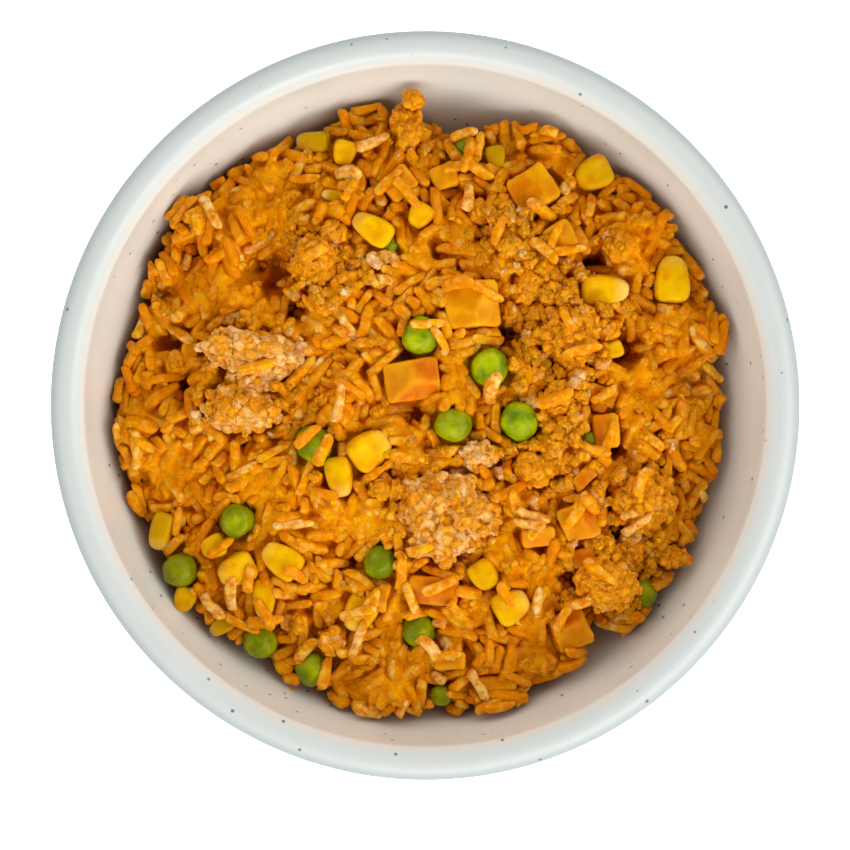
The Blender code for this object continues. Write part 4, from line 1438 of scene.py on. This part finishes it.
def makeDie(name, carrier, tone, material, nodes):
    shift = seedOf(name)
    mesh = remeshed(carrier, carrots["voxel"], carrots["easing"])
    warp, wander, cut = carrots["warp"], carrots["wander"], carrots["cut"]
    swell(mesh, [warp[1] * bumps(point, warp[0], shift + 9) + wander[1] * bumps(point, wander[0], shift)
                 + cut[1] * bumps(point, cut[0], shift + 4) - 0.05 for point in meshPoints(mesh) / mm])
    # painted light and shade: faces turned to the lit side get a lighter, yellower tone
    side = math.radians(carrots["brightSide"].get(name, shift * 40))
    facing = neighbourMean(mesh, meshNormals(mesh), 2) @ np.array((math.cos(side), math.sin(side), 0.0))
    setAttribute(mesh, "tone", np.clip(tone + carrots["litContrast"] * facing, 0, 1))
    setAttribute(mesh, "ridge", np.clip(-hollowness(mesh, 6) / 0.3, 0, 1))
    addPiece(pieceName(name), mesh, material, nodes)


def carrotMaterial():
    material, tree = foodMaterial("carrotFlesh", 0.35, 2.0, (1.0, 0.5, 0.06), (1.0, 0.7, 0.08),
                                  Coat_Weight=0.04, Coat_Roughness=0.16)
    where = objectPlace(tree)
    grain = addNode(tree, "Mapping", {"Vector": where, "Scale": (1.0, 0.25, 0.6)}).outputs[0]
    tone = attributeOf(tree, "tone")
    base = mixColours(tree, tone, (206, 90, 0), (212, 130, 0))
    light = mixColours(tree, tone, (214, 110, 0), (228, 160, 0))
    clouds = spread(tree, noiseOf(tree, where, 180.0, 2.0), 0.4, 0.66)
    fibre = multiply(tree, spread(tree, noiseOf(tree, grain, 900.0), 0.55, 0.75), 0.35)
    fibred = mixColours(tree, fibre, mixColours(tree, clouds, base, light), (238, 162, 30))
    # convex edges are paler
    paleEdges = multiply(tree, attributeOf(tree, "ridge"), 0.6)
    finishFood(tree, mixColours(tree, paleEdges, fibred, (250, 176, 30)), (380.0, 0.18, 0.42), (0.3, 0.25),
               sauce=((214, 104, 0), 0.22, 300.0))
    return material


# Minced chicken

chicken = {
    "core": 0.95,  # the lump under its knobs, as a share of the node
    "spacing": 1.7,
    "smallest": 0.65,
    "largest": 1.35,
    "sunk": 0.35,
    "voxel": 0.33,
    "easing": 1,
    "nodules": ((5.0, 0.9), (2.3, 0.42)),  # width and rise of the bits pressed together
    "rough": (0.8, 0.16),  # wavelength and height
    # how much sauce colours each lump
    "sauced": {"chicken_centre": 0.42, "chicken_left_upper": 0.30, "chicken_left_lower": 0.44,
               "chicken_right": 0.64, "chicken_lower_right": 0.66, "chicken_ragged": 0.62,
               "chicken_top": 0.70, "chicken_by_pea": 0.36, "chicken_upper": 0.68,
               "chicken_middle_right": 0.66, "chicken_beside": 0.66, "chicken_edge": 0.72,
               "chicken_foot": 0.66, "chicken_upper_left": 0.62},
}


def knobTree():
    # knobs of mince pressed together over a lump's surface
    tree, given = newTree("Geometry", "pressMinceKnobs",
                          (("Geometry", "Geometry"), ("Spacing", "Float", 1.5 * mm),
                           ("Smallest", "Float", 0.75 * mm), ("Largest", "Float", 1.45 * mm),
                           ("Sunk", "Float", 0.35 * mm), ("Seed", "Int", 1), ("Material", "Material")),
                          (("Geometry", "Geometry"),))

    def randomOf(values, **settings):
        return addNode(tree, "FunctionNodeRandomValue", {**values, 8: given["Seed"]}, **settings).outputs

    def scaled(vector, factor):
        return addNode(tree, "VectorMath", {0: vector, 3: factor}, operation="SCALE").outputs[0]

    spots = addNode(tree, "GeometryNodeDistributePointsOnFaces",
                    {"Mesh": given["Geometry"], "Distance Min": given["Spacing"], "Density Max": 900000.0,
                     "Seed": given["Seed"]}, distribute_method="POISSON").outputs
    inward = scaled(spots["Normal"], multiply(tree, given["Sunk"], -1.0))
    sunk = addNode(tree, "GeometryNodeSetPosition", {"Geometry": spots["Points"], "Offset": inward})
    size = randomOf({2: given["Smallest"], 3: given["Largest"]})[1]
    squash = randomOf({0: (0.8, 0.8, 0.75), 1: (1.25, 1.1, 1.0)}, data_type="FLOAT_VECTOR")[0]
    turn = randomOf({0: (0.0, 0.0, 0.0), 1: (6.28, 6.28, 6.28)}, data_type="FLOAT_VECTOR")[0]
    knob = addNode(tree, "GeometryNodeMeshIcoSphere", {"Radius": 1.0, "Subdivisions": 2}).outputs[0]
    knobs = addNode(tree, "GeometryNodeInstanceOnPoints",
                    {"Points": sunk.outputs[0], "Instance": knob, "Rotation": turn,
                     "Scale": scaled(squash, size)})
    joined = addNode(tree, "GeometryNodeJoinGeometry")
    for part in (given["Geometry"], knobs.outputs[0]):
        tree.links.new(part, joined.inputs[0])
    return endTree(tree, joined.outputs[0], given["Material"])


def nodule(point, width, shift):
    # how far a point is from the fold round the bit it belongs to, and a number that is that bit's own
    # (noise.noise_vector isn't used, because it changes from run to run)
    at = point / width + Vector((shift, shift * 0.7, -shift))
    bent = Vector([bumps(at, 0.7, 20.0 * axis) for axis in range(3)])
    away, middles = noise.voronoi(at + bent * 0.32)
    return away[1] - away[0], math.sin(middles[0].dot(Vector((127.1, 311.7, 74.7)))) * 43758.5 % 1.0


def pressNodules(mesh, shift):
    points = meshPoints(mesh) / mm
    heights, own = np.zeros(len(points)), np.zeros(len(points))
    wave, high = chicken["rough"]
    for place, point in enumerate(points.tolist()):
        point = Vector(point)
        for step, (width, rise) in enumerate(chicken["nodules"]):
            away, number = nodule(point, width, shift + step)
            heights[place] += rise * (math.sqrt(min(away / 0.45, 1)) - 0.6)
            own[place] += number / len(chicken["nodules"])
        heights[place] += high * bumps(point, wave, shift)
    swell(mesh, heights)
    setAttribute(mesh, "sort", own)


def makeLump(name, carrier, sauced, material, tree, nodes):
    shift = seedOf(name)
    sizes = {label.capitalize(): chicken[label] * mm for label in ("spacing", "smallest", "largest", "sunk")}
    runTree(carrier, tree, {**sizes, "Seed": shift % 50 + 1, "Material": material})
    mesh = remeshed(carrier, chicken["voxel"], chicken["easing"])
    pressNodules(mesh, shift)
    setAttribute(mesh, "crease", hollowness(mesh, 6))
    setAttribute(mesh, "tint", sauced)
    addPiece(pieceName(name), mesh, material, nodes)
    return len(mesh.polygons)


def chickenMaterial():
    material, tree = foodMaterial("mincedChicken", 0.25, 1.2, (1.0, 0.5, 0.2), (1.0, 0.7, 0.4))
    where = objectPlace(tree)
    clouds = addNode(tree, "TexNoise", {"Vector": where, "Scale": 700.0, "Detail": 3.0}).outputs
    # small bits inside the mesh's own knobs: a colour for each and a thin fold between them
    warp = addNode(tree, "VectorMath", {0: clouds["Color"], 3: 1.6 * mm}, operation="SCALE").outputs[0]
    moved = addNode(tree, "VectorMath", {0: where, 1: warp}, operation="ADD").outputs[0]
    bit = {"Vector": moved, "Scale": 430.0}
    border = addNode(tree, "TexVoronoi", bit, feature="DISTANCE_TO_EDGE").outputs["Distance"]
    bitRise = spread(tree, border, 0.0, 0.2)
    number = addNode(tree, "SeparateColor", {0: addNode(tree, "TexVoronoi", bit).outputs["Color"]}).outputs[0]
    sort = addMath(tree, "ADD", multiply(tree, number, 0.55),
                   multiply(tree, attributeOf(tree, "sort"), 0.45))
    own = addMath(tree, "MULTIPLY_ADD", clouds["Fac"], 0.5, multiply(tree, sort, 0.55))
    meat = addRamp(tree, own, (0.34, 228, 150, 44), (0.46, 240, 172, 76), (0.6, 248, 196, 116),
                   (0.78, 248, 194, 142))
    # sauce settles in patches and in creases; the deepest creases and the thin folds between bits get painted
    # shade
    settled = addMath(tree, "ADD", noiseOf(tree, where, 260.0, 4.0), attributeOf(tree, "tint"))
    film = spread(tree, addMath(tree, "MULTIPLY_ADD", sort, -0.28, settled), 0.66, 0.9)
    hollow = attributeOf(tree, "crease")
    crease = multiply(tree, spread(tree, hollow, 0.0, 0.12), 0.8)
    sauce = addRamp(tree, clouds["Fac"], (0.35, 228, 136, 0), (0.65, 250, 168, 6))
    coated = mixColours(tree, addMath(tree, "MAXIMUM", film, crease), meat, sauce)
    # painted shade in the deepest creases and the folds between bits
    foldShade = addMath(tree, "MAXIMUM", multiply(tree, spread(tree, hollow, 0.08, 0.3), 0.6),
                   addMath(tree, "MULTIPLY_ADD", bitRise, -0.33, 0.33))
    skin = placeGroup(tree, moistSkin, Scale=480.0, Wet=0.24, Dry=0.52)
    relief = addMath(tree, "MULTIPLY_ADD", skin["Height"], 0.35, bitRise)
    finishSurface(tree, {"Base Color": mixColours(tree, foldShade, coated, (150, 72, 0)),
                         "Roughness": skin["Roughness"], "Normal": addBump(tree, relief, 0.9, 0.28)})
    return material


# Scraps of the same things, half hidden among the rice: place and lift, size, heading, lean and looks

bits = {
    "corn": {
        "cornScrapRight": ((40.9, 12.2, 0.6), (5.0, 3.8, 3.2), 20, 12, (0.05, 0.0, 0.2)),
        "cornScrapOlive": ((25.1, 9.5, 0.4), (5.2, 3.6, 3.0), -40, -10, (0.05, 0.55, 0.1)),
        "cornScrapLeft": ((-44.9, -48.4, 1.4), (6.0, 4.2, 3.2), 35, 15, (0.06, 0.6, 0.1)),
        "cornScrapEdge": ((-53.0, -42.6, 2.4), (5.6, 5.0, 4.2), 70, 0, (0.04, 0.25, 0.0)),
        "cornSkinUpper": ((-20.0, 46.0, 0.6), (5.4, 3.0, 2.6), -15, 10, (0.03, 0.2, 0.6)),
        "cornScrapTop": ((15.6, 54.8, 1.0), (5.6, 4.6, 3.4), 100, 10, (0.12, 0.5, 0.0)),
    },
    "pea": {
        "peaScrapUpper": ((-8.0, 35.2, 0.4), 4.6, (0.05, 0.3, 0.6, (0.2, 0.4, 0.8), 0.1)),
        "peaScrapRight": ((35.8, -7.4, 0.4), 4.4, (0.05, 0.4, 0.6, (0.2, -0.4, 0.8), 0.1)),
        "peaScrapFoot": ((3.6, -64.0, 0.6), 5.4, (0.04, 0.5, 0.5, (0.0, -0.4, 0.8), 0.1)),
    },
    "carrot": {
        "carrotScrapRight": ((34.6, -15.8, 0.4), (6.0, 3.6, 3.2), 40, 14, 0.45),
        "carrotScrapPink": ((38.6, 2.4, 0.3), (6.4, 4.0, 3.0), -20, 10, 0.3),
        "carrotScrapRed": ((35.0, -33.2, 0.6), (5.4, 4.0, 3.4), 15, -12, 0.0),
        "carrotScrapLeft": ((-52.0, 12.0, 0.2), (5.0, 3.4, 3.0), 80, 8, 0.4),
    },
    "chicken": {
        "chickenKnobTop": ((-2.6, 67.4, 7.0), (4.4, 4.2, 4.2), 0, 0, 0.85),
        "chickenPaleUpper": ((-8.8, 32.1, 1.0), (7.4, 3.6, 3.4), 5, 6, 0.22),
        "chickenPaleLeft": ((-41.6, 19.6, 1.0), (6.6, 3.4, 3.2), 8, -6, 0.24),
        "chickenPaleRight": ((45.4, -29.6, 1.4), (5.2, 3.6, 3.4), 60, 0, 0.3),
        "chickenJoinLeft": ((-37.6, 5.6, 1.8), (12.0, 6.0, 6.4), -10, 0, 0.35),
        "chickenEastA": ((22.6, 26.0, 0.8), (8.0, 6.4, 5.6), 30, 0, 0.66),
        "chickenEastB": ((39.6, 16.8, 1.0), (6.4, 5.2, 5.0), -30, 0, 0.66),
        "chickenEastC": ((24.4, 20.2, 0.6), (6.0, 5.0, 4.6), 60, 0, 0.6),
        "chickenSouthEast": ((44.8, -31.8, 1.2), (7.6, 6.4, 5.6), 20, 0, 0.7),
        "chickenNorthWest": ((-19.6, 38.0, 0.8), (6.4, 5.4, 4.8), 10, 0, 0.62),
        "chickenMiddle": ((-9.6, -17.8, 0.6), (6.8, 5.6, 4.8), 50, 0, 0.62),
        "chickenFar": ((12.0, 42.6, 0.6), (6.4, 5.0, 4.6), 80, 0, 0.62),
    },
}


def scrapAxes(heading, lean):
    return Matrix.Rotation(math.radians(heading), 3, "Z") @ Matrix.Rotation(math.radians(lean), 3, "Y")


def roughBlock(name, at, size, heading, lean, rounded):
    # a closed block or ball of the given size, to be worked over
    bm = bmesh.new()
    if rounded:
        bmesh.ops.create_icosphere(bm, subdivisions=2, radius=0.5)
    else:
        bmesh.ops.create_cube(bm, size=1.0)
    axes = scrapAxes(heading, lean)
    for vert in bm.verts:
        scaled = Vector(vert.co[axis] * size[axis] * mm for axis in range(3))
        vert.co = axes @ scaled + Vector(at) * mm
    return placeObject(name + "Block", meshOf(name, bm))


def makeBits(peaSkin, cornSkin, carrotFlesh, meat, knobs):
    def seat(place):
        x, y, lift = place
        return x, y, crownHeight(x, y) + lift

    for name, (place, size, heading, lean, own) in bits["corn"].items():
        makeKernel(name, seat(place), scrapAxes(heading, lean), size, own, cornSkin, [])
    for name, (place, size, own) in bits["pea"].items():
        middle, half = np.array(seat(place)), np.array((size, size * 0.9, size * 0.8)) / 2
        makePea(name, middle - half, middle + half, own, peaSkin, [])
    for name, (place, size, heading, lean, tone) in bits["carrot"].items():
        makeDie(name, roughBlock(name, seat(place), size, heading, lean, False), tone, carrotFlesh, [])
    for name, (place, size, heading, lean, sauced) in bits["chicken"].items():
        makeLump(name, roughBlock(name, seat(place), size, heading, lean, True), sauced, meat, knobs, [])
    print("scraps:", sum(len(kind) for kind in bits.values()))


def makeToppings():
    before = set(bpy.data.objects)
    peaSkin, cornSkin, carrotFlesh, meat = peaMaterial(), cornMaterial(), carrotMaterial(), chickenMaterial()
    for name, own in peas["own"].items():
        low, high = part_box(name)
        makePea(name, low / mm, high / mm, own, peaSkin, [name])
    print("peas:", len(peas["own"]))
    for name, own in corn["own"].items():
        middle, axes, size = nodeFrame(name)
        makeKernel(name, middle, axes, size, own, cornSkin, [name])
    print("sweetcorn:", len(corn["own"]))
    for name, tone in carrots["tone"].items():
        makeDie(name, copyOfNode(name, 1.0, carrots["cuts"].get(name, ())), tone, carrotFlesh, [name])
    print("carrot:", len(carrots["tone"]))
    knobs = knobTree()
    faces = sum(makeLump(name, copyOfNode(name, chicken["core"]), sauced, meat, knobs, [name])
                for name, sauced in chicken["sauced"].items())
    print("chicken:", faces, "faces")
    makeBits(peaSkin, cornSkin, carrotFlesh, meat, knobs)
    return [piece for piece in bpy.data.objects if piece not in before], meat


makeStage()
makeBowl()
makeRice(*makeToppings())

total = sum(len(piece.data.loop_triangles) for piece in bpy.data.objects
            if piece.type == "MESH" and not piece.hide_render and not piece.data.calc_loop_triangles())
print("triangles in all:", total)
